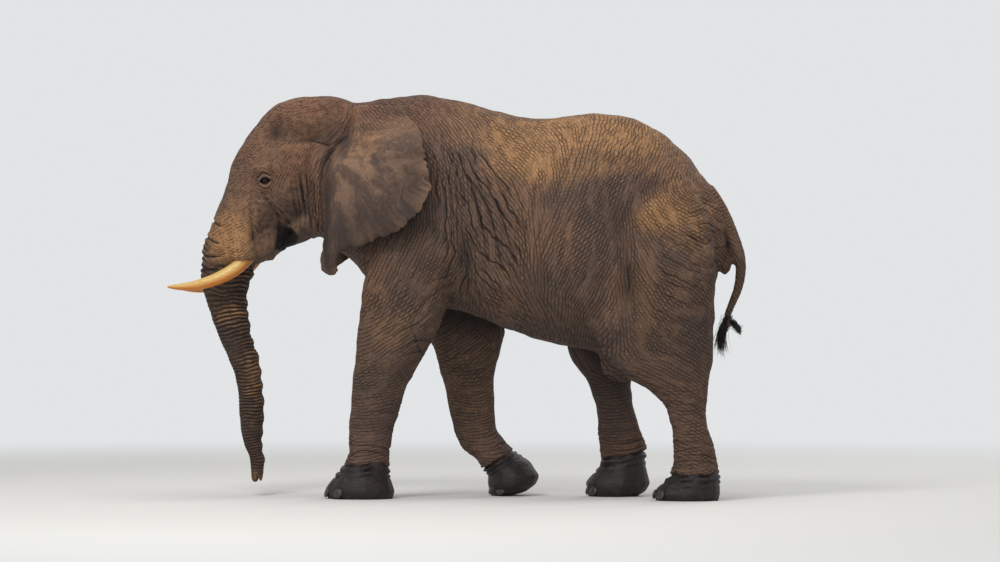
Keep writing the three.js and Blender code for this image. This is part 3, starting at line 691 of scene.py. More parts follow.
furrows = {    # long folds side by side, that follow the grain
    "spacing": 0.056, "width": 0.0075, "depth": 0.0110,
    "run": 0.85,                 # length over which a fold comes and goes
    "narrow": (0.92, 0.985),     # how well a family has to keep to the grain, from hidden to in full
    "wander": ((0.020, 0.45, (31, 32, 33)), (0.005, 0.13, (34, 35, 36))),    # amount, size, seeds
    "patches": [    # place (x, outward y, z), size, amount
        ((0.24, 0.55, 2.05), (0.24, 0.5, 0.46), 1.5),
        ((0.02, 0.50, 2.58), (0.20, 0.5, 0.26), 0.80),
        ((0.66, 0.55, 2.10), (0.20, 0.5, 0.35), 0.50),
        ((1.10, 0.55, 1.78), (0.28, 0.5, 0.30), 0.35),
        ((1.42, 0.55, 1.85), (0.11, 0.5, 0.30), 0.20),
        ((1.76, 0.50, 1.84), (0.22, 0.5, 0.26), 0.75),
        ((1.74, 0.40, 1.32), (0.20, 0.5, 0.26), 0.60),
        ((2.00, 0.20, 2.10), (0.14, 0.3, 0.22), 0.90),
        ((1.50, 0.50, 2.62), (0.22, 0.5, 0.20), 0.45),
        ((-0.38, 0.50, 1.55), (0.20, 0.4, 0.26), 0.50),
        ((-0.24, 0.45, 1.20), (0.11, 0.4, 0.20), 0.60),
        ((-0.55, 0.40, 0.66), (0.24, 0.3, 0.10), 0.50),
        ((-0.74, 0.40, 0.38), (0.28, 0.3, 0.07), 0.95),
        ((0.25, 0.40, 0.42), (0.28, 0.3, 0.09), 0.85),
        ((1.90, 0.40, 0.36), (0.30, 0.3, 0.09), 0.95),
        ((1.32, 0.40, 0.44), (0.26, 0.3, 0.09), 0.85),
        ((1.85, 0.40, 0.80), (0.24, 0.3, 0.16), 0.50),
        ((-0.72, 0.40, 2.30), (0.20, 0.3, 0.36), 0.60),
    ],
}


wetLines = {    # near each foot: the wet edge passes here and climbs backwards by this much
    "forefoot_left": ((-0.74, 0.275), 0.04),
    "forefoot_right": ((0.285, 0.305), 0.56),
    "hindfoot_left": ((1.92, 0.205), 0.10),
    "hindfoot_right": ((1.29, 0.335), 0.17),
}


def wetDepth(points):
    # how far below the wet edge of its foot each point lies
    wet = np.full(len(points), -1.0, np.float32)
    for foot, ((x, z), climb) in wetLines.items():
        low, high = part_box(foot)
        beside = np.abs(points[:, 1] - (low.y + high.y) / 2) < 0.3
        along = np.abs(points[:, 0] - (low.x + high.x) / 2) < 0.6
        level = z + climb * (points[:, 0] - x) - points[:, 2]
        wet = np.where(beside & along, np.maximum(wet, level), wet)
    return wet + 0.010 * wobble(points, 0.22, 51) + 0.002 * wobble(points, 0.06, 52)    # a ragged edge


footFolds = [    # distance below the wet edge, width, height
    (-0.050, 0.022, 0.007), (-0.014, 0.014, 0.009), (0.008, 0.009, -0.014), (0.034, 0.014, 0.009),
    (0.060, 0.008, -0.009), (0.085, 0.014, 0.005), (0.108, 0.008, -0.006),
]
nailSwell = {"above": (0.01, 0, 0.055), "size": (0.050, 0.050, 0.045), "height": 0.013}


def footHeight(mesh, points):
    # folds round the ankle, and a swelling above each nail
    foot = np.maximum(readField(mesh, "foot"), readField(mesh, "foreleg") + readField(mesh, "hindleg"))
    wet = wetDepth(points)
    uneven = 1 + 0.5 * wobble(points, 0.2, 53)
    height = sum(tall * np.exp(-((wet - at) / wide) ** 2) for at, wide, tall in footFolds) * foot * uneven
    height *= smooth(0.02, 0.08, points[:, 2])
    for node in nodes:
        if node.startswith("nail_"):
            above = middle(node) + Vector(nailSwell["above"])
            height += dab(points, above, nailSwell["size"], nailSwell["height"])
    return height


def trunkAxis(points, inTrunk):
    # the middle of the trunk at each height, as rows of x, z and radius from the tip up
    rows = []
    part = points[inTrunk > 0.5]
    highest, count, half = trunkRings["bands"]
    for level in np.linspace(part[:, 2].min() + 0.02, highest, count):
        band = part[np.abs(part[:, 2] - level) < half]
        rows.append(((band[:, 0].min() + band[:, 0].max()) / 2, level, np.ptp(band[:, 0]) / 2))
    return np.vstack([np.array(rows), np.array([trunkRings["top"]])])


def sculptTrunk(mesh, points, normals):
    # rings all round in front, lumps behind, then the girth and the two fingers of the tip
    inTrunk = readField(mesh, "trunk")
    axis = trunkAxis(points, inTrunk)
    steps = np.hypot(np.diff(axis[:, 0]), np.diff(axis[:, 1]))
    length = np.concatenate([[0], np.cumsum(steps)])
    lean = np.gradient(axis[:, 0]) / np.hypot(np.gradient(axis[:, 0]), np.gradient(axis[:, 1]))
    lean = np.convolve(np.pad(lean, 2, "edge"), np.ones(5) / 5, "valid")
    # run is the distance up the trunk from its tip, and phase counts the rings along it
    z = points[:, 2]
    centre = np.interp(z, axis[:, 1], axis[:, 0])
    radius = np.interp(z, axis[:, 1], axis[:, 2])
    aside = points[:, 0] - centre
    run = np.interp(z, axis[:, 1], length) + aside * np.interp(z, axis[:, 1], lean)
    fine = np.linspace(0, length[-1], 600)
    spacing = np.interp(fine, trunkRings["reach"], trunkRings["spacing"])
    turns = np.concatenate([[0], np.cumsum(np.diff(fine) / spacing[1:])])
    phase = np.interp(run, fine, turns)
    for size, seed, amount in trunkRings["wander"]:
        phase = phase + amount * wobble(points, size, seed)
    gap = np.interp(run, fine, spacing)
    ridge = np.abs(np.sin(math.pi * phase)) ** 0.6
    front = smooth(-0.2, 0.6, -aside / radius)
    back = smooth(0.3, 0.95, aside / radius)
    strength = 1 + 0.25 * wobble(points, 0.25, 5)
    face = front * smooth(0.20, 0.10, np.abs(points[:, 1])) * smooth(2.12, 1.98, z)
    below = smooth(1.90, 1.80, z)
    share = np.maximum(inTrunk * below, face * (readField(mesh, "head") + inTrunk))
    tip = smooth(0.02, 0.16, run)
    depth = np.minimum(gap * trunkRings["depth"], trunkRings["deepest"])
    height = (ridge - 0.75) * depth * strength * share * (0.3 + 0.7 * tip)
    lump = np.sin(2 * math.pi * run / trunkRings["lumps"] + 0.6 * wobble(points, 0.3, 6))
    height += lump * trunkRings["lumpHeight"] * back * inTrunk * tip
    sideBand = np.exp(-((aside / radius - 0.15) / 0.35) ** 2)
    height -= trunkRings["flatten"] * sideBand * inTrunk * smooth(0.3, 0.9, run)
    writeField(mesh, "ringPhase", phase)
    writeField(mesh, "ringShare", np.clip(share * strength * (0.35 + 0.65 * tip), 0, 1.3))
    points = points + normals * height[:, None]
    points[:, 0] += aside * (np.interp(z, *trunkRings["girth"]) - 1) * inTrunk
    deep, place, wide = trunkRings["notch"]
    notch = deep * np.exp(-((points[:, 0] - centre - place) / wide) ** 2) * smooth(0.19, 0.10, z)
    points[:, 2] += notch * inTrunk
    return points


def sculptEars(mesh, points):
    # ripples and a frayed rim, the same on both faces of an ear so that it keeps its thickness
    ear = readField(mesh, "ear")
    offset = points[:, [0, 2]] - np.float32(earShape["root"])
    far = np.hypot(offset[:, 0], offset[:, 1])
    turn = np.arctan2(offset[:, 1], offset[:, 0])
    flat = points[:, [0, 2]].copy()
    marks = np.linspace(-2.2, 1.8, 81)    # the rim's distance is kept at these turns round the root
    for sign in sides.values():
        picked = np.where((ear > 0.3) & (points[:, 1] * sign > 0))[0]
        rim = np.full(len(marks), 0.05)
        np.maximum.at(rim, np.clip(np.searchsorted(marks, turn[picked]), 0, 80), far[picked])
        rim = np.convolve(np.pad(rim, 2, "edge"), np.ones(5) / 5, "valid")
        edge = far[picked] / np.interp(turn[picked], marks, rim)    # 0 at the root, 1 at the rim
        angle = turn[picked] + 0.10 * np.sin(3 * turn[picked])
        sway = earShape["ripple"] * np.sin(angle * earShape["ripples"]) * smooth(0.55, 1.0, edge)
        sway += earShape["wave"] * np.sin(angle * earShape["waves"] + 1.2) * smooth(0.25, 0.9, edge)
        sway -= earShape["curl"] * smooth(0.86, 1.0, edge) * smooth(-1.2, -0.4, angle)
        for path, width, depth in earShape["creases"]:
            sway += fold(flat[picked], path, width, depth)
        # the root stays as it is, so that it doesn't tear from the head
        behind = flat[picked, 0] - np.interp(flat[picked, 1], *earShape["rootLine"])
        hold = smooth(0.5, 0.95, ear[picked]) * smooth(0.04, 0.26, behind)
        points[picked, 1] += sign * sway * hold
        bite = np.maximum(np.sin(angle * 23 + 2 * np.sin(angle * 5)), 0) ** 3
        bite += 0.6 * np.maximum(np.sin(angle * 61 + 3 * np.sin(angle * 7)), 0) ** 2
        bite *= smooth(0.86, 1.0, edge) * smooth(0.35, -0.1, angle) * smooth(-1.75, -1.35, angle)
        shrink = earShape["scallop"] * bite * hold
        direction = offset[picked] / np.maximum(far[picked], 0.05)[:, None]
        points[np.ix_(picked, [0, 2])] -= direction * shrink[:, None]
    forward = smooth(2.82, 2.58, points[:, 2]) * smooth(-1.20, -1.02, points[:, 0])
    forward *= smooth(-0.62, -0.88, points[:, 0]) * smooth(0.20, 0.32, np.abs(points[:, 1]))
    forward *= np.maximum(smooth(0.2, 0.6, ear), smooth(1.95, 2.12, points[:, 2]))
    points[:, 0] -= earShape["forward"] * forward
    return points


def furrowHeight(mesh, mirrored):
    # wavering parallel folds, each one fading in and out along its length
    spacing, width = furrows["spacing"], furrows["width"]
    sway = mirrored
    for amount, size, seeds in furrows["wander"]:
        sway = sway + amount * np.stack([wobble(mirrored, size, seed, 6) for seed in seeds], 1)
    share = dabs(mirrored, furrows["patches"])
    share = np.clip(share, 0, 1.1) * (1 - readField(mesh, "ear")) * (1 - readField(mesh, "trunk"))
    share *= 1 - readField(mesh, "tail")
    grain = readVectors(mesh, "grain")
    height = np.zeros(len(mirrored), np.float32)
    deep = np.zeros(len(mirrored), np.float32)
    for k in range(families):
        across, shift, along = family(k, spacing)
        count = sway @ np.float32(across) + shift
        number = np.round(count)
        run = sway @ np.float32(along) * 2 * math.pi / furrows["run"]
        come = 0.5 + 0.5 * np.sin(run + number * 2.4 + 0.5 * np.sin(number * 5.1))    # 0 where it fades out
        near = smooth(*furrows["narrow"], np.abs(grain @ np.float32(along)))
        strength = share * near * smooth(0.02, 0.50, come)
        gap = np.abs(count - number) * spacing / width
        height += furrows["depth"] * strength * (0.3 * np.exp(-(gap - 2) ** 2) - np.exp(-gap ** 2))
        deep = np.maximum(deep, strength)
    writeField(mesh, "deep", deep)
    writeVectors(mesh, "sway", sway)
    return height


def sculptEye(points, rim, side):
    # lids that wrap the ball of the eye, with folds round them. u runs ahead along the slit, v up
    # across it, and w outwards, all from the middle of the ball
    sign = sides[side]
    shape = eyeShape
    turn = math.radians(shape["turn"])
    tilt = math.radians(shape["tilt"])
    out = np.array([-math.sin(turn), sign * math.cos(turn), 0.0])
    ahead = np.array([-math.cos(turn), -sign * math.sin(turn), 0.0])
    ahead = ahead * math.cos(tilt) + np.array([0, 0, -math.sin(tilt)])
    up = np.cross(ahead, out) * sign
    up *= np.sign(up[2])
    offset = points - np.float32(eyePlaces[side])
    u, v, w = offset @ ahead, offset @ up, offset @ out
    reach = np.hypot(u, v)
    near = np.where((reach < 0.12) & (w > -0.04) & (w < 0.12))[0]
    u, v, w, reach = u[near], v[near], w[near], reach[near]
    ball = shape["radius"]
    dome = np.sqrt(np.maximum((ball + shape["lid"]) ** 2 - reach ** 2, 0))
    arch = np.maximum(1 - (u / shape["halfLength"]) ** 2, 0)
    edge = np.where(v > 0, shape["upper"], shape["lower"]) * arch ** 0.8
    inside = edge - np.abs(v)                       # above 0 inside the opening
    beside = np.maximum(np.abs(u) - shape["halfLength"], 0)
    gap = np.hypot(np.maximum(-inside, 0), beside)  # distance out from the opening
    blend = smooth(0.055, 0.028, reach)
    target = w * (1 - blend) + np.maximum(dome, w - 0.004) * blend
    upper = v > 0
    for at, tall, wide in shape["upperFolds"]:
        target += tall * np.exp(-((gap - at) / wide) ** 2) * upper * smooth(0.10, 0.05, np.abs(u))
    for at, tall, wide in shape["lowerFolds"]:
        target += tall * np.exp(-((gap - at) / wide) ** 2) * (~upper) * smooth(0.09, 0.04, np.abs(u - 0.010))
    hidden = np.sqrt(np.maximum(ball ** 2 - reach ** 2, 0)) - 0.006
    opened = smooth(-0.0012, 0.0022, inside) * (beside <= 0)
    target = target * (1 - opened) + hidden * opened
    fade = smooth(0.12, 0.090, reach)
    points[near] += np.outer((target - w) * fade, out).astype(np.float32)
    # for the colours: dark along the edge, partly the lids' own dark rim and partly painted shade, light on
    # the lids, and painted shade in their folds
    rim[near] = smooth(0.0085, 0.0020, gap)
    lids = np.where(upper, smooth(0.036, 0.026, gap), 0.7 * smooth(0.040, 0.020, gap))
    lids *= smooth(0.006, 0.013, gap)
    # painted shade in the folds round the lids
    creaseShade = np.exp(-((gap - np.where(upper, 0.0395, 0.042)) / 0.0055) ** 2) * smooth(0.065, 0.03, np.abs(u))
    rim[near] += 0.7 * creaseShade - lids * smooth(0.060, 0.040, np.abs(u))
    return points


def sculpt(mesh):
    points, normals = readPoints(mesh), readNormals(mesh)
    mirrored = bothSides(points)
    flat = points[:, [0, 2]]
    ear, head, trunk, tail = (readField(mesh, name) for name in ("ear", "head", "trunk", "tail"))
    skinSide = (1 - ear) * (1 - tail)
    outward = smooth(0.0, 0.5, normals[:, 1] * np.sign(points[:, 1]))
    height = np.zeros(len(points), np.float32)
    for place, size, amount in forms:
        height += dab(mirrored, place, size, amount) * skinSide
    for path, width, depth in headFolds + [(p, w, bodyFoldDepth * d) for p, w, d in bodyFolds]:
        height += fold(flat, path, width, depth) * skinSide * outward * (1 - trunk)
    for path, width, depth in browRings:
        height += fold(flat, path, width, depth) * (1 - ear) * smooth(0.30, 0.20, mirrored[:, 1])
    height += furrowHeight(mesh, mirrored) + footHeight(mesh, points)
    broad = sum(amount * wobble(points, size, seed) for amount, size, seed in unevenness)
    height += broad * (1 - ear) * (1 - tail) * smooth(0.05, 0.3, points[:, 2])
    points = points + normals * height[:, None]
    points = sculptTrunk(mesh, points, normals)
    points = sculptEars(mesh, points)
    rim = np.zeros(len(points), np.float32)    # filled in by both eyes
    for side in sides:
        points = sculptEye(points, rim, side)
    # rim holds the lids' dark edge, partly its own colour and partly painted shade, with painted shade in
    # their folds, and below 0 the lighter lids
    writeField(mesh, "rim", rim)
    # lift what hangs below the line of the lip and chin, then set the soles flat on the floor again
    under = np.interp(points[:, 0] + 0.12 * mirrored[:, 1], *chin) - points[:, 2]
    points[:, 2] += 0.85 * np.maximum(under, 0) * (points[:, 0] > -1.56) * (head > 0.5)
    points[:, 2] = np.where(readPoints(mesh)[:, 2] < 0.0005, 0, np.maximum(points[:, 2], 0))
    writePoints(mesh, points)


sculpt(skin)
report("sculpted the hide")


# what the hide's colours follow: furrows, dust, wet feet and painted shade in hollows, as fields over the
# surface

dustPatches = [    # place (x, outward y, z), size, amount
    ((1.05, 0.30, 2.90), (0.42, 0.30, 0.075), 1.0),
    ((0.55, 0.45, 2.80), (0.22, 0.30, 0.100), 0.55),
    ((1.40, 0.42, 2.80), (0.20, 0.30, 0.075), 0.5),
    ((0.60, 0.55, 2.62), (0.16, 0.30, 0.070), 0.45),
    ((1.66, 0.60, 2.250), (0.10, 0.30, 0.110), 0.95),
    ((1.50, 0.60, 2.190), (0.09, 0.30, 0.060), 0.45),
    ((-1.72, 0.25, 2.090), (0.13, 0.20, 0.160), 0.75),
    ((-1.90, 0.10, 2.050), (0.10, 0.20, 0.160), 0.45),
    ((-1.77, 0.25, 1.980), (0.11, 0.20, 0.100), 0.70),
    ((-0.58, 0.55, 2.84), (0.17, 0.30, 0.120), 0.30),
    ((-0.70, 0.60, 2.74), (0.13, 0.30, 0.100), 0.20),
    ((-0.45, 0.60, 2.53), (0.12, 0.30, 0.035), 0.25),
    ((-0.42, 0.45, 1.36), (0.13, 0.30, 0.130), 0.55),
    ((-0.25, 0.50, 1.50), (0.12, 0.30, 0.090), 0.30),
    ((-0.55, 0.45, 1.10), (0.10, 0.30, 0.220), 0.25),
    ((-1.63, 0.14, 0.98), (0.07, 0.20, 0.170), 0.75),
    ((-1.83, 0.14, 1.46), (0.10, 0.20, 0.075), 0.80),
    ((-1.62, 0.06, 0.17), (0.10, 0.20, 0.035), 0.60),
    ((1.25, 0.55, 1.45), (0.35, 0.30, 0.090), 0.25),
    ((0.72, 0.55, 2.58), (0.30, 0.30, 0.120), 0.40),
    ((1.30, 0.55, 2.62), (0.25, 0.30, 0.090), 0.35),
    ((1.92, 0.45, 2.15), (0.16, 0.30, 0.260), 0.62),
    ((-1.65, 0.25, 2.42), (0.14, 0.20, 0.120), 0.20),
    ((-1.52, 0.28, 2.70), (0.10, 0.20, 0.090), 0.20),
]
redPatches = [    # warmer, redder places
    ((-1.20, 0.20, 3.05), (0.40, 0.40, 0.140), 0.90),
    ((-1.30, 0.30, 2.62), (0.16, 0.30, 0.150), 0.55),
    ((-0.70, 0.50, 2.95), (0.30, 0.40, 0.100), 0.70),
    ((-0.10, 0.40, 3.10), (0.35, 0.50, 0.120), 0.70),
    ((-1.62, 0.25, 2.72), (0.12, 0.30, 0.160), 0.35),
    ((1.80, 0.30, 2.55), (0.30, 0.50, 0.200), 0.45),
]
shadeBetweenLegs = [    # painted shade on the sides of the legs that face each other
    ((1.24, 0.30, 1.16), (0.25, 0.25, 0.170), 1.0),
    ((0.08, 0.30, 1.44), (0.32, 0.30, 0.120), 1.1),
]
mouthShadowPatches = [    # painted shadow, nearly black, in the corner of the mouth
    ((-1.335, 0.18, 2.060), (0.045, 0.20, 0.040), 1.0),
    ((-1.345, 0.18, 2.100), (0.022, 0.20, 0.030), 0.8),
    ((-1.372, 0.18, 2.000), (0.032, 0.20, 0.036), 1.0),
    ((-1.405, 0.18, 1.962), (0.020, 0.20, 0.020), 0.8),
]
paintedShade = [    # painted shade: darker places in hollows, under overhangs, round the eye and behind the ear
    ((-1.34, 0.20, 2.06), (0.060, 0.20, 0.060), 0.8),
    ((-1.60, 0.28, 2.02), (0.035, 0.20, 0.090), 0.75),
    ((-0.99, 0.45, 2.40), (0.030, 0.30, 0.420), 0.9),
    ((-0.88, 0.35, 2.84), (0.070, 0.20, 0.070), 0.6),
    ((-1.41, 0.30, 2.90), (0.060, 0.20, 0.080), 0.45),
    ((-1.16, 0.28, 2.84), (0.130, 0.20, 0.035), 0.30),
    ((-1.45, 0.30, 2.17), (0.060, 0.20, 0.150), 0.55),
    ((-1.53, 0.33, 2.53), (0.060, 0.20, 0.022), 0.35),
    ((-0.245, 0.62, 2.52), (0.050, 0.20, 0.110), 0.60),
    ((-0.50, 0.62, 2.20), (0.260, 0.20, 0.160), 0.60),
    ((-0.33, 0.62, 2.40), (0.090, 0.20, 0.200), 0.55),
    ((-0.62, 0.62, 2.10), (0.260, 0.20, 0.120), 0.35),
    ((1.27, 0.10, 1.30), (0.140, 0.15, 0.060), 0.80),
    ((-0.86, 0.60, 1.95), (0.130, 0.20, 0.180), 0.60),
    ((0.10, 0.60, 2.20), (0.220, 0.20, 0.330), 0.28),
    ((-1.30, 0.40, 2.90), (0.200, 0.20, 0.060), 0.25),
    ((-1.495, 0.33, 2.515), (0.045, 0.20, 0.024), 0.70),
    ((1.585, 0.60, 2.455), (0.07, 0.30, 0.070), 0.35),
    ((1.330, 0.62, 2.180), (0.07, 0.30, 0.130), 0.55),
    ((1.415, 0.60, 1.680), (0.05, 0.30, 0.150), 0.65),
    ((0.430, 0.62, 2.180), (0.09, 0.30, 0.230), 0.35),
    ((0.130, 0.60, 1.900), (0.05, 0.30, 0.110), 0.60),
]


hideMarks = {    # shares of dust and of painted shade, beside those of the patches above
    "backDust": 0.55, "foreInnerDust": 0.28, "lowShade": 0.22, "underShade": 0.20, "hindInnerShade": 0.35,
}
reliefScales = {"relief": (0.014, 0.0025), "hollow": (0.06, 0.010)}    # reach, and height that counts as 1


def relief(mesh, points, reach):
    # how far each point stands above the surface round it
    table = neighbours(mesh)
    around = spread(table, points, np.full(len(points), reach, np.float32), hide["voxel"], 25)
    return ((points - around) * readNormals(mesh)).sum(1)


def markFields(mesh):
    points, outward = readPoints(mesh), readNormals(mesh)
    mirrored = bothSides(points)
    x, z = points[:, 0], points[:, 2]
    table = neighbours(mesh)

    def even(values, reach):
        return spread(table, values, np.full(len(points), reach, np.float32), hide["voxel"], 20)

    for name, (reach, full) in reliefScales.items():
        writeField(mesh, name, relief(mesh, points, reach) / full)
    writeField(mesh, "mouthShadow", dabs(mirrored, mouthShadowPatches))
    writeField(mesh, "red", dabs(mirrored, redPatches))
    writeField(mesh, "wet", wetDepth(points))
    # the ear's own tone starts without an edge where the ear leaves the head
    ear = readField(mesh, "ear") * smooth(3.02, 2.74, z + 0.5 * (x + 0.75).clip(-0.3, 0))
    writeField(mesh, "earTone", even(ear, 0.05))
    # dust lies on the back and inside the forelegs; painted shade lies low down, on faces that look down, and
    # inside the legs
    up = even(outward[:, 2], 0.03)
    inner = smooth(0.1, -0.6, outward[:, 1] * np.sign(points[:, 1]))
    dust = dabs(mirrored, dustPatches)
    behind = 0.3 + 0.7 * smooth(-0.3, 0.4, x)
    dust += hideMarks["backDust"] * smooth(0.05, 0.95, up) * smooth(1.9, 2.5, z) * behind
    dust += hideMarks["foreInnerDust"] * inner * smooth(1.5, 1.2, z) * smooth(0.6, 0.3, x)
    writeField(mesh, "dust", dust)
    # painted shade: the listed patches, then lower down, on faces that look down, and inside the legs
    dark = dabs(mirrored, paintedShade)
    dark += hideMarks["lowShade"] * smooth(2.1, 1.1, z) + hideMarks["underShade"] * smooth(0.1, -0.8, up)
    dark += hideMarks["hindInnerShade"] * inner * smooth(1.5, 1.2, z) * smooth(0.9, 1.2, x)
    dark += inner * dabs(mirrored, shadeBetweenLegs)
    writeField(mesh, "paintedShade", dark)


markFields(skin)
report("marked the hide")
keepWhole = np.zeros(len(skin.vertices), bool)
for place in eyePlaces.values():
    keepWhole |= np.linalg.norm(readPoints(skin) - np.float32(place), axis=1) < eyeShape["keep"]
thinned = np.where(~keepWhole)[0].tolist()
triangles = sum(len(p.vertices) - 2 for p in skin.polygons)
skin = evaluated(skin, ("TRIANGULATE", {}),
                 ("DECIMATE", {"ratio": hide["triangles"] / triangles, "vertex_group": thinned,
                               "use_collapse_triangulate": True}))
report("thinned the hide to %d triangles" % len(skin.polygons))


# materials

def colour(*levels):
    # red, green and blue as a screen counts them, from 0 to 255
    return (*((c / 255 / 12.92 if c <= 10 else ((c / 255 + 0.055) / 1.055) ** 2.4) for c in levels), 1)


class Finish:
    # a small helper that lays out one material's nodes
    def __init__(self, name, roughness=0.7):
        self.material = bpy.data.materials.new(name)
        self.material.use_nodes = True
        self.tree = self.material.node_tree
        self.shader = self.tree.nodes["Principled BSDF"]
        self.shader.inputs["Roughness"].default_value = roughness

    def node(self, kind, **settings):
        made = self.tree.nodes.new(kind)
        for key, value in settings.items():
            setattr(made, key, value)
        return made

    def put(self, socket, value):
        if isinstance(value, bpy.types.NodeSocket):
            self.tree.links.new(value, socket)
        else:
            socket.default_value = value

    def math(self, operation, a, b=0.0, clamp=False):
        made = self.node("ShaderNodeMath", operation=operation, use_clamp=clamp)
        self.put(made.inputs[0], a)
        self.put(made.inputs[1], b)
        return made.outputs[0]

    def times(self, a, b, clamp=False):
        return self.math("MULTIPLY", a, b, clamp)

    def plus(self, a, b):
        return self.math("ADD", a, b)

    def minus(self, a, b):
        return self.math("SUBTRACT", a, b)

    def most(self, a, b, clamp=False):
        return self.math("MAXIMUM", a, b, clamp)

    def ramp(self, value, low, high, start=0.0, end=1.0):
        made = self.node("ShaderNodeMapRange", interpolation_type="SMOOTHSTEP")
        for socket, item in zip(made.inputs, (value, low, high, start, end)):
            self.put(socket, item)
        return made.outputs[0]

    def mix(self, share, a, b):
        made = self.node("ShaderNodeMix", data_type="RGBA", clamp_factor=True)
        self.put(made.inputs["Factor"], share)
        self.put(made.inputs[6], a)
        self.put(made.inputs[7], b)
        return made.outputs[2]

    def field(self, name, output="Fac"):
        return self.node("ShaderNodeAttribute", attribute_name=name).outputs[output]

    def place(self):
        return self.node("ShaderNodeTexCoord").outputs["Object"]

    def noise(self, vector, size, detail=3.0, roughness=0.55, stretch=(1, 1, 1), output="Fac"):
        moved = self.node("ShaderNodeMapping")
        self.put(moved.inputs["Vector"], vector)
        moved.inputs["Scale"].default_value = [k / size for k in stretch]
        made = self.node("ShaderNodeTexNoise")
        self.put(made.inputs["Vector"], moved.outputs[0])
        made.inputs["Scale"].default_value = 1.0
        made.inputs["Detail"].default_value = detail
        made.inputs["Roughness"].default_value = roughness
        return made.outputs[output]

    def cracks(self, vector, cell, width, shift=0.0, turn=0.0, jitter=0.85):
        # the borders of cells of a given size
        moved = self.node("ShaderNodeMapping")
        self.put(moved.inputs["Vector"], vector)
        moved.inputs["Scale"].default_value = [1 / k for k in cell]
        moved.inputs["Location"].default_value = (shift, shift * 1.7, shift * 0.6)
        moved.inputs["Rotation"].default_value = (0, 0, math.radians(turn))
        made = self.node("ShaderNodeTexVoronoi", feature="DISTANCE_TO_EDGE")
        self.put(made.inputs["Vector"], moved.outputs[0])
        made.inputs["Scale"].default_value = 1.0
        made.inputs["Randomness"].default_value = jitter
        return self.ramp(made.outputs["Distance"], 0.0, width, 1.0, 0.0)

    def lines(self, count, width):
        # thin lines wherever a counting value passes a whole number
        return self.ramp(self.math("PINGPONG", count, 0.5), 0.0, width, 1.0, 0.0)

    def dot(self, vector, way):
        made = self.node("ShaderNodeVectorMath", operation="DOT_PRODUCT")
        self.put(made.inputs[0], vector)
        made.inputs[1].default_value = way
        return made.outputs["Value"]

    def grainLines(self, place, grain, spacing, width, narrow=(0.83, 0.97), cross=None):
        # of each family of lines: those along the grain, and some that cross it
        total = 0.0
        for k in range(families):
            across, shift, along = family(k, spacing)
            line = self.lines(self.plus(self.dot(place, across), shift), width)
            turn = self.math("ABSOLUTE", self.dot(grain, along))
            near = self.ramp(turn, *narrow)
            if cross:
                aside = self.times(self.ramp(turn, 0.64, 0.50), self.ramp(turn, 0.10, 0.26))
                near = self.most(near, self.times(aside, cross))
            total = self.most(self.times(line, near), total)
        return total

    def warped(self, vector, size, amount):
        # a place that wanders a little about the true one
        offset = self.node("ShaderNodeVectorMath", operation="SUBTRACT")
        self.put(offset.inputs[0], self.noise(vector, size, 2.0, 0.5, output="Color"))
        offset.inputs[1].default_value = (0.5, 0.5, 0.5)
        scaled = self.node("ShaderNodeVectorMath", operation="SCALE")
        self.put(scaled.inputs[0], offset.outputs[0])
        scaled.inputs["Scale"].default_value = amount
        added = self.node("ShaderNodeVectorMath", operation="ADD")
        self.put(added.inputs[0], vector)
        self.put(added.inputs[1], scaled.outputs[0])
        return added.outputs[0]

    def bump(self, height):
        # height in metres
        made = self.node("ShaderNodeBump")
        made.inputs["Distance"].default_value = 1.0
        self.put(made.inputs["Height"], height)
        self.put(self.shader.inputs["Normal"], made.outputs[0])


hideFinish = {
    # the dry hide, in plain, cooler, warmer and redder places, and the dust on it
    "plain": colour(114, 89, 75), "cool": colour(98, 79, 70), "warm": colour(126, 94, 72),
    "red": colour(118, 78, 60), "dust": colour(178, 132, 88),
    # painted shade in creases and hollows, the ear and its streaks, the trunk
    "creaseShade": colour(30, 24, 22), "paintedShade": colour(44, 35, 32), "ear": colour(80, 64, 58),
    "earStreak": colour(130, 103, 85), "trunk": colour(50, 39, 34),
    # the lids' edge, dark in itself and with painted shade, and the painted shade in their folds and in the
    # corner of the mouth; the lighter lids; and the wet feet
    "rim": colour(16, 12, 11), "lid": colour(156, 124, 102), "wet": colour(27, 23, 23),
    "mud": colour(60, 43, 37),
    # sizes of the cells of the net and of the finest cracks, and distances between the lines
    "net": (0.042, 0.056, 0.056), "fine": (0.0105, 0.0120, 0.0120), "line": 0.0260, "faceLine": 0.0200,
    "lineWidth": 0.30, "foldWidth": 0.16, "ringWidth": 0.36, "faceNarrow": (0.80, 0.97),
    # how dark the painted shade in each kind of crease is, and how deep each crease is in metres
    "netShade": 0.95, "longShade": 0.94, "fineShade": (0.18, 0.07), "furrowShade": 0.92,
    "netDeep": 0.0036, "longDeep": 0.0040, "fineDeep": 0.0010, "poreDeep": 0.0010, "grainDeep": 0.0040,
    "dryRough": 0.82, "wetSmooth": 0.30,
}


def hideLines(f, place, lie, grain, head):
    # the net of wrinkles: broken lines along the grain, closer set on the face, and cells between them
    look = hideFinish
    wavy = f.warped(f.warped(place, 0.34, 0.075), 0.085, 0.014)
    cross = f.times(f.field("cross"), 0.75)
    body = f.grainLines(wavy, grain, look["line"], look["lineWidth"], cross=cross)
    body = f.times(body, f.minus(1.0, head))
    breaks = f.noise(lie, 0.050, 2, 0.5, stretch=(1, 0.45, 0.6))
    body = f.times(body, f.ramp(breaks, 0.30, 0.56, 0.40, 1.0))
    knotted = f.warped(wavy, 0.045, 0.012)
    face = f.grainLines(knotted, grain, look["faceLine"], look["lineWidth"], look["faceNarrow"], cross=0.65)
    faint = f.ramp(f.noise(place, 0.040, 3), 0.36, 0.62, 0.30, 0.92)
    face = f.times(face, f.times(head, faint))
    cells = f.cracks(lie, look["net"], 0.13, 0.3, turn=20, jitter=0.9)
    cells = f.times(cells, f.ramp(head, 0, 1, 0.50, 0.22))
    return f.most(f.most(face, body), cells)


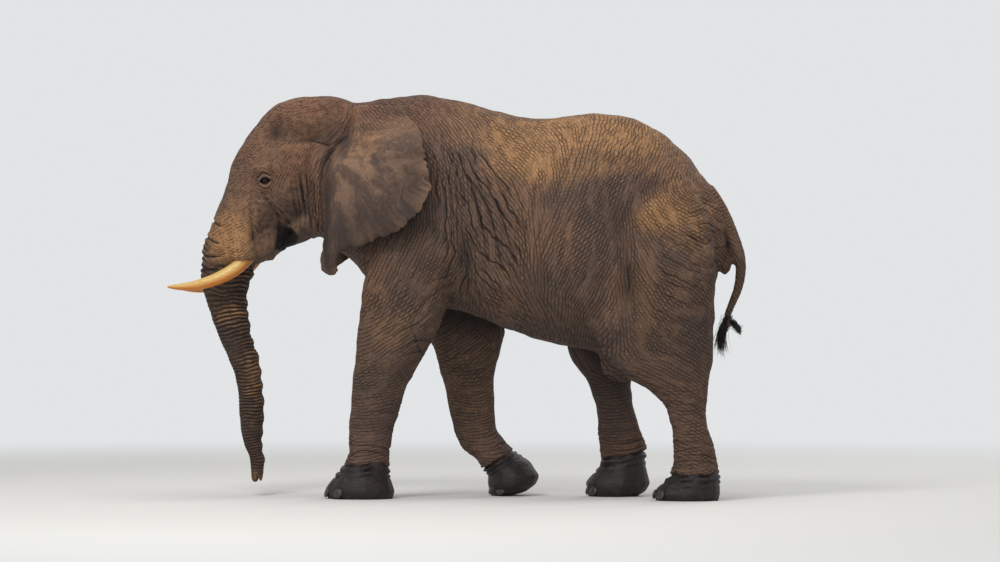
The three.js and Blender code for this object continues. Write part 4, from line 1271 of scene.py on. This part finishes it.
def hideTone(f, place, head, trunk, ear, relief, speckle, streak):
    # the dry hide's own colours, with dust in patches, and dust colour on the ridges that is partly dust and
    # partly painted highlight
    look = hideFinish
    tone = f.mix(f.ramp(f.noise(place, 0.45, 3), 0.35, 0.65), look["cool"], look["plain"])
    tone = f.mix(f.ramp(f.noise(place, 0.9, 2), 0.42, 0.66, 0, 0.8), tone, look["warm"])
    ruddy = f.times(f.field("red"), f.ramp(f.noise(place, 0.16, 4), 0.35, 0.62))
    tone = f.mix(f.times(ruddy, 0.85), tone, look["red"])
    earTone = f.mix(f.ramp(streak, 0.42, 0.62), look["ear"], look["earStreak"])
    tone = f.mix(f.times(ear, 0.85), tone, earTone)
    tone = f.mix(f.times(trunk, 0.85), tone, look["trunk"])
    tone = f.mix(f.ramp(speckle, 0.45, 0.75, 0, 0.20), tone, look["dust"])
    ragged = f.plus(f.times(f.minus(speckle, 0.5), 0.7), f.times(f.minus(streak, 0.5), 0.8))
    dusty = f.times(f.ramp(f.plus(f.field("dust"), ragged), 0.12, 1.05), 0.88)
    # dust colour on the raised ridges: partly dust and partly painted highlight
    raised = f.ramp(relief, 0.0, 1.2, 0.0, 0.35)
    ridgeDustAndHighlight = f.plus(0.25, f.times(trunk, f.plus(0.30, f.times(dusty, 5.0))))
    ridgeDustAndHighlight = f.plus(ridgeDustAndHighlight, f.times(head, 0.55))
    patches = f.times(dusty, f.minus(1.0, f.times(trunk, 0.5)))
    return f.mix(f.most(patches, f.times(raised, ridgeDustAndHighlight), clamp=True), tone, look["dust"])


def hideMaterial():
    look = hideFinish
    f = Finish("hide", roughness=0.78)
    place = f.place()
    lie = f.warped(f.field("lie", "Vector"), 0.17, 0.040)
    grain = f.field("grain", "Vector")
    trunk, ear, head, hollow, relief = (f.field(n) for n in ("trunk", "earTone", "head", "hollow", "relief"))
    speckle = f.noise(place, 0.035, 4, 0.65)
    pores = f.noise(place, 0.006, 2, 0.6)
    streak = f.noise(lie, 0.030, 3, 0.6, stretch=(1, 0.22, 0.5))
    # the creases, from the finest cracks to the long folds and the rings of the trunk
    bare = f.minus(1.0, f.plus(f.times(ear, 0.85), f.times(trunk, 0.7)))
    net = f.times(hideLines(f, place, lie, grain, head), bare)
    fine = f.cracks(lie, look["fine"], 0.20, 7.7, turn=10)
    rings = f.times(f.lines(f.field("ringPhase"), look["ringWidth"]), f.times(f.field("ringShare"), 1.25))
    folds = f.grainLines(f.field("sway", "Vector"), grain, furrows["spacing"], look["foldWidth"],
                         furrows["narrow"])
    long = f.most(f.times(folds, f.field("deep")), rings)
    reliefShade = f.times(f.ramp(relief, -0.25, -1.8), f.minus(1.0, f.times(ear, 0.6)))
    # painted shade in the creases: the net, the long folds and rings, the finest cracks, and wherever the
    # surface lies below what is round it
    dark = f.most(f.times(net, look["netShade"]), f.times(long, look["longShade"]), clamp=True)
    everywhere, onEars = look["fineShade"]
    dark = f.most(dark, f.times(fine, f.plus(everywhere, f.times(ear, onEars))))
    dark = f.most(dark, f.times(reliefShade, look["furrowShade"]))
    # colours: the dry hide, then painted shade in hollows and creases, the lids with painted shade at their
    # edge and in their folds, painted shadow in the corner of the mouth, and the wet feet
    tone = hideTone(f, place, head, trunk, ear, relief, speckle, streak)
    # painted shade in the hollows: the listed patches, and wherever the surface lies well below what is round
    # it
    shade = f.plus(f.field("paintedShade"), f.ramp(hollow, -0.25, -1.6, 0.0, 0.55))
    tone = f.mix(f.times(shade, 0.85, clamp=True), tone, look["paintedShade"])
    tone = f.mix(dark, tone, look["creaseShade"])
    # the lids: their edge dark, partly its own colour and partly painted shade, painted shade in their folds,
    # and the lids themselves lighter
    rim = f.field("rim")
    tone = f.mix(f.ramp(rim, 0.0, 1.0, 0.0, 0.94), tone, look["rim"])
    tone = f.mix(f.ramp(rim, 0.0, -1.0, 0.0, 0.42), tone, look["lid"])
    # painted shadow, nearly black, in the corner of the mouth
    tone = f.mix(f.ramp(f.field("mouthShadow"), 0.16, 0.48, 0.0, 0.97), tone, look["rim"])
    soaked = f.ramp(f.plus(f.field("wet"), f.times(f.minus(speckle, 0.5), 0.07)), -0.004, 0.010)
    wetTone = f.mix(f.ramp(f.noise(place, 0.05, 4), 0.5, 0.8), look["wet"], look["mud"])
    f.put(f.shader.inputs["Base Color"], f.mix(f.times(soaked, 0.96), tone, wetTone))
    f.put(f.shader.inputs["Roughness"], f.minus(look["dryRough"], f.times(soaked, look["wetSmooth"])))
    f.shader.inputs["Specular IOR Level"].default_value = 0.30
    height = f.minus(f.times(net, -look["netDeep"]), f.times(long, look["longDeep"]))
    height = f.minus(height, f.times(fine, look["fineDeep"]))
    height = f.plus(height, f.times(pores, look["poreDeep"]))
    height = f.plus(height, f.times(speckle, look["grainDeep"]))
    f.bump(f.times(height, f.minus(1.0, f.times(soaked, 0.6))))
    return f.material


skinObject = bpy.data.objects.new("skin", skin)
scene.collection.objects.link(skinObject)
skin.materials.append(hideMaterial())
for polygon in skin.polygons:
    polygon.use_smooth = True
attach(skinObject, "root")
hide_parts(*[n for n in fleshNodes if not n.startswith("eye_")])


# eyes, tusks and nails: smooth copies of their solids

def smoothCopy(node, name, levels, swell):
    # swell, in metres, goes outwards before the smoothing
    work = bmesh.new()
    work.from_mesh(nodes[node].data)
    bmesh.ops.remove_doubles(work, verts=work.verts, dist=1e-5)
    work.normal_update()
    for vert in work.verts:
        vert.co += vert.normal * swell
    mesh = bpy.data.meshes.new(name)
    work.to_mesh(mesh)
    work.free()
    mesh = evaluated(mesh, ("SUBSURF", {"levels": levels, "render_levels": levels}))
    return finishPiece(mesh, name, (node,))


def finishPiece(mesh, name, replaced):
    piece = bpy.data.objects.new(name, mesh)
    scene.collection.objects.link(piece)
    for polygon in mesh.polygons:
        polygon.use_smooth = True
    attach(piece, "root")
    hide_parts(*replaced)
    return piece


ivory = {
    "pale": colour(214, 178, 104), "warm": colour(194, 116, 34), "stain": colour(140, 84, 40),
    "swell": 0.0015,    # makes up for what the smoothing takes off
}


def tuskMaterial():
    f = Finish("ivory", roughness=0.34)
    place = f.place()
    streak = f.noise(place, 0.035, 4, 0.6, stretch=(0.22, 1, 1))
    below = f.plus(f.field("under"), f.times(streak, 0.5))
    tone = f.mix(f.ramp(below, 0.15, 1.05), ivory["pale"], ivory["warm"])
    tone = f.mix(f.ramp(f.field("along"), 0.30, 0.0, 0.0, 0.75), tone, ivory["stain"])
    line = f.cracks(place, (0.16, 0.010, 0.010), 0.05, 1.0)
    tone = f.mix(f.times(line, 0.30), tone, ivory["stain"])
    f.put(f.shader.inputs["Base Color"], tone)
    f.bump(f.minus(f.times(streak, 0.0012), f.times(line, 0.0008)))
    return f.material


tuskFinish = tuskMaterial()
for side in sides:
    tusk = smoothCopy("tusk_" + side, "tusk_%s_ivory" % side, 3, ivory["swell"])
    tusk.data.materials.append(tuskFinish)
    spots = readPoints(tusk.data)
    writeField(tusk.data, "under", smooth(0.5, -0.9, readNormals(tusk.data)[:, 2]))
    back = spots[:, 0].max()
    writeField(tusk.data, "along", (back - spots[:, 0]) / (back - spots[:, 0].min()))


eyeColours = {
    "pupil": colour(6, 5, 5), "iris": colour(24, 15, 10), "rim": colour(8, 6, 6), "white": colour(20, 15, 14),
}
eyeFront = {"size": 0.020, "bulge": 0.003}    # the clear front stands out a little


def eyeMaterial():
    f = Finish("eye", roughness=0.14)
    centre = f.field("gaze")
    tone = f.mix(f.ramp(centre, 0.30, 0.36), eyeColours["pupil"], eyeColours["iris"])
    tone = f.mix(f.ramp(centre, 0.60, 0.74), tone, eyeColours["rim"])
    tone = f.mix(f.ramp(centre, 0.80, 0.95), tone, eyeColours["white"])
    f.put(f.shader.inputs["Base Color"], tone)
    f.shader.inputs["Specular IOR Level"].default_value = 0.16
    return f.material


eyeFinish = eyeMaterial()
for side, sign in sides.items():
    work = bmesh.new()
    laid = Matrix.Translation(eyePlaces[side]) @ Matrix.Rotation(math.pi / 2, 4, "X")
    bmesh.ops.create_uvsphere(work, u_segments=40, v_segments=24, radius=eyeShape["radius"], matrix=laid)
    turn = math.radians(eyeShape["turn"])
    out = Vector((-math.sin(turn), sign * math.cos(turn), 0))
    for vert in work.verts:
        facing = (vert.co - eyePlaces[side]).normalized().dot(out)
        vert.co += out * eyeFront["bulge"] * max(0, (facing - 0.85) / 0.15)
    bmesh.ops.recalc_face_normals(work, faces=work.faces)
    mesh = bpy.data.meshes.new("eye_%s_ball" % side)
    work.to_mesh(mesh)
    work.free()
    eye = finishPiece(mesh, "eye_%s_ball" % side, ("eye_" + side,))
    eye.data.materials.append(eyeFinish)
    offset = readPoints(mesh) - np.float32(eyePlaces[side])
    away = np.linalg.norm(np.cross(offset, np.float32(out)), axis=1)
    writeField(mesh, "gaze", np.where(offset @ np.float32(out) > 0, away / eyeFront["size"], 2))


horn = {"dark": colour(40, 33, 30), "pale": colour(66, 55, 47), "stain": colour(32, 27, 25), "swell": 0.002}


def nailMaterial():
    f = Finish("nail", roughness=0.45)
    place = f.place()
    streak = f.noise(place, 0.012, 3, 0.6, stretch=(1, 1, 0.3))
    tone = f.mix(f.ramp(streak, 0.3, 0.7), horn["dark"], horn["pale"])
    tone = f.mix(f.ramp(f.noise(place, 0.05, 3), 0.45, 0.7), tone, horn["stain"])
    f.put(f.shader.inputs["Base Color"], tone)
    f.bump(f.times(streak, 0.0012))
    return f.material


nailFinish = nailMaterial()
for node in sorted(nodes):
    if node.startswith("nail_"):
        nail = smoothCopy(node, node + "_horn", 2, horn["swell"])
        nail.data.materials.append(nailFinish)
report("made eyes, tusks and nails")


# the hair at the end of the tail

tailHair = {
    "strands": 640, "thick": 0.0019, "segments": 7, "patch": 0.003,
    "dark": colour(18, 15, 14), "pale": colour(46, 36, 30),
    "lobes": [    # share, root, spread of the root, end, spread of the end, how it bows
        (0.62, (2.150, 0.0, 1.42), (0.022, 0.022, 0.045),
         (2.085, 0.0, 1.19), (0.045, 0.026, 0.060), (-0.045, 0, 0.02)),
        (0.38, (2.180, 0.0, 1.39), (0.018, 0.020, 0.022),
         (2.228, 0.0, 1.335), (0.018, 0.026, 0.034), (0.050, 0, -0.06)),
    ],
}


def hairMaterial():
    f = Finish("bristle", roughness=0.45)
    tone = f.mix(f.noise(f.place(), 0.02, 2), tailHair["dark"], tailHair["pale"])
    f.put(f.shader.inputs["Base Color"], tone)
    return f.material


def makeStrand(work, path, thick, layer, patch):
    # one tapering three-sided hair, unwrapped onto its own small patch
    ring = None
    made = []
    third = 2.0944    # of a turn
    size = tailHair["patch"]
    for k, spot in enumerate(path):
        ahead = (path[min(k + 1, len(path) - 1)] - path[max(k - 1, 0)]).normalized()
        turn = ahead.to_track_quat("Z", "Y").to_matrix().to_4x4()
        wide = thick * (1 - 0.8 * k / (len(path) - 1))
        place = Matrix.Translation(spot) @ turn
        if ring is None:
            circle = bmesh.ops.create_circle(work, cap_ends=True, segments=3, radius=wide, matrix=place)
            ring = circle["verts"]
            made += list({face for vert in ring for face in vert.link_faces})
            continue
        step = [work.verts.new(place @ Vector((wide * math.cos(third * n), wide * math.sin(third * n), 0)))
                for n in range(3)]
        for n in range(3):
            made.append(work.faces.new((ring[n], ring[(n + 1) % 3], step[(n + 1) % 3], step[n])))
        ring = step
    made.append(work.faces.new(ring))
    for face in made:
        for k, loop in enumerate(face.loops):
            loop[layer].uv = (patch[0] + size * (k % 2), patch[1] + size * (k // 2 % 2))


def makeTailHair():
    draw = np.random.default_rng(21)
    work = bmesh.new()
    layer = work.loops.layers.uv.new("OFBake")
    for share, root, rootSize, end, endSize, bow in tailHair["lobes"]:
        for _ in range(int(share * tailHair["strands"])):
            start = Vector(root) + Vector(draw.normal(size=3) * rootSize * 0.6)
            stop = Vector(end) + Vector(draw.normal(size=3) * endSize * 0.6)
            middlePoint = (start + stop) / 2 + Vector(bow) + Vector(draw.normal(size=3) * 0.006)
            path = []
            for k in range(tailHair["segments"] + 1):
                t = k / tailHair["segments"]
                path.append(start * (1 - t) ** 2 + middlePoint * 2 * t * (1 - t) + stop * t ** 2)
            around = math.atan2(start.y, start.x - root[0]) / (2 * math.pi) + 0.5
            makeStrand(work, path, tailHair["thick"] * draw.uniform(0.7, 1.3), layer,
                       (0.05 + 0.9 * around, 0.05 + 0.9 * min(max((start.z - 1.3) / 0.2, 0), 1)))
    bmesh.ops.recalc_face_normals(work, faces=work.faces)
    mesh = bpy.data.meshes.new("tail_hair")
    work.to_mesh(mesh)
    work.free()
    return mesh


tailPiece = finishPiece(makeTailHair(), "tail_hair", ("tail_tuft",))
tailPiece.data.materials.append(hairMaterial())
report("made the tail hair")


# floor, light and camera

stage = {"floor": colour(222, 221, 217), "sky": colour(226, 228, 230), "size": 400, "fade": (5.5, 13.0),
         "light": 0.50}
lamps = [    # name, place, what it is turned to, size, power
    ("key", (-3.0, -8.0, 10.0), (0, 0, 1.5), 4.0, 640),
    ("top", (1.5, 0.0, 10.0), (0.2, 0, 1.5), 6.0, 240),
    ("back", (5.0, 9.0, 8.0), (0, 0, 1.5), 5.0, 220),
    ("fill", (1.0, -14.0, 2.5), (0, 0, 1.3), 6.0, 300),
]
view = {    # from the animal's left, a little behind it and far off, with angles in degrees
    "lens": 204.5, "turn": 7.0, "dip": 0.555, "away": 45.0, "aim": (0.3315, 0, 2.15),
}


def makeFloor():
    # the floor keeps the shadow near the feet and runs into the backdrop's colour further out
    work = bmesh.new()
    bmesh.ops.create_circle(work, cap_ends=True, segments=96, radius=stage["size"])
    mesh = bpy.data.meshes.new("floor")
    work.to_mesh(mesh)
    work.free()
    f = Finish("floorPaint", roughness=0.9)
    f.shader.inputs["Base Color"].default_value = stage["floor"]
    f.shader.inputs["Specular IOR Level"].default_value = 0.1
    away = f.node("ShaderNodeVectorMath", operation="LENGTH")
    f.put(away.inputs[0], f.place())
    rays = f.node("ShaderNodeLightPath").outputs
    seen = f.most(rays["Is Camera Ray"], rays["Is Glossy Ray"])
    far = f.times(f.ramp(away.outputs["Value"], *stage["fade"]), seen)
    glow = f.node("ShaderNodeEmission")
    glow.inputs["Color"].default_value = stage["sky"]
    pick = f.node("ShaderNodeMixShader")
    f.put(pick.inputs[0], far)
    f.put(pick.inputs[1], f.shader.outputs[0])
    f.put(pick.inputs[2], glow.outputs[0])
    f.put(f.tree.nodes["Material Output"].inputs["Surface"], pick.outputs[0])
    mesh.materials.append(f.material)
    floor = bpy.data.objects.new("floor", mesh)
    scene.collection.objects.link(floor)


def makeWorld():
    world = bpy.data.worlds.new("studio")
    scene.world = world
    world.use_nodes = True
    tree = world.node_tree
    light = tree.nodes["Background"]
    light.inputs["Color"].default_value = (1, 1, 1, 1)
    light.inputs["Strength"].default_value = stage["light"]
    seen = tree.nodes.new("ShaderNodeBackground")
    seen.inputs["Color"].default_value = stage["sky"]
    rays = tree.nodes.new("ShaderNodeLightPath").outputs
    either = tree.nodes.new("ShaderNodeMath")
    either.operation = "MAXIMUM"
    tree.links.new(rays["Is Camera Ray"], either.inputs[0])
    tree.links.new(rays["Is Glossy Ray"], either.inputs[1])
    pick = tree.nodes.new("ShaderNodeMixShader")
    tree.links.new(either.outputs[0], pick.inputs[0])
    tree.links.new(light.outputs[0], pick.inputs[1])
    tree.links.new(seen.outputs[0], pick.inputs[2])
    tree.links.new(pick.outputs[0], tree.nodes["World Output"].inputs[0])


def makeLamp(name, place, aim, size, power):
    lamp = bpy.data.lights.new(name, "AREA")
    lamp.shape = "DISK"
    lamp.size = size
    lamp.energy = power
    holder = bpy.data.objects.new(name, lamp)
    holder.location = place
    holder.rotation_euler = (Vector(aim) - Vector(place)).to_track_quat("-Z", "Y").to_euler()
    scene.collection.objects.link(holder)


def makeCamera():
    data = bpy.data.cameras.new("camera")
    data.sensor_width = 36
    data.lens = view["lens"]
    data.clip_end = 1000
    holder = bpy.data.objects.new("camera", data)
    turn, dip = math.radians(view["turn"]), math.radians(view["dip"])
    ahead = Vector((-math.sin(turn), math.cos(turn), 0))
    holder.location = Vector(view["aim"]) - ahead * view["away"]
    ahead = (ahead * math.cos(dip) + Vector((0, 0, -math.sin(dip)))).normalized()
    holder.rotation_mode = "QUATERNION"
    holder.rotation_quaternion = ahead.to_track_quat("-Z", "Y")
    scene.collection.objects.link(holder)
    scene.camera = holder


makeFloor()
makeWorld()
for lamp in lamps:
    makeLamp(*lamp)
makeCamera()
scene.view_settings.view_transform = "Standard"

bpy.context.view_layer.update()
report("finished")
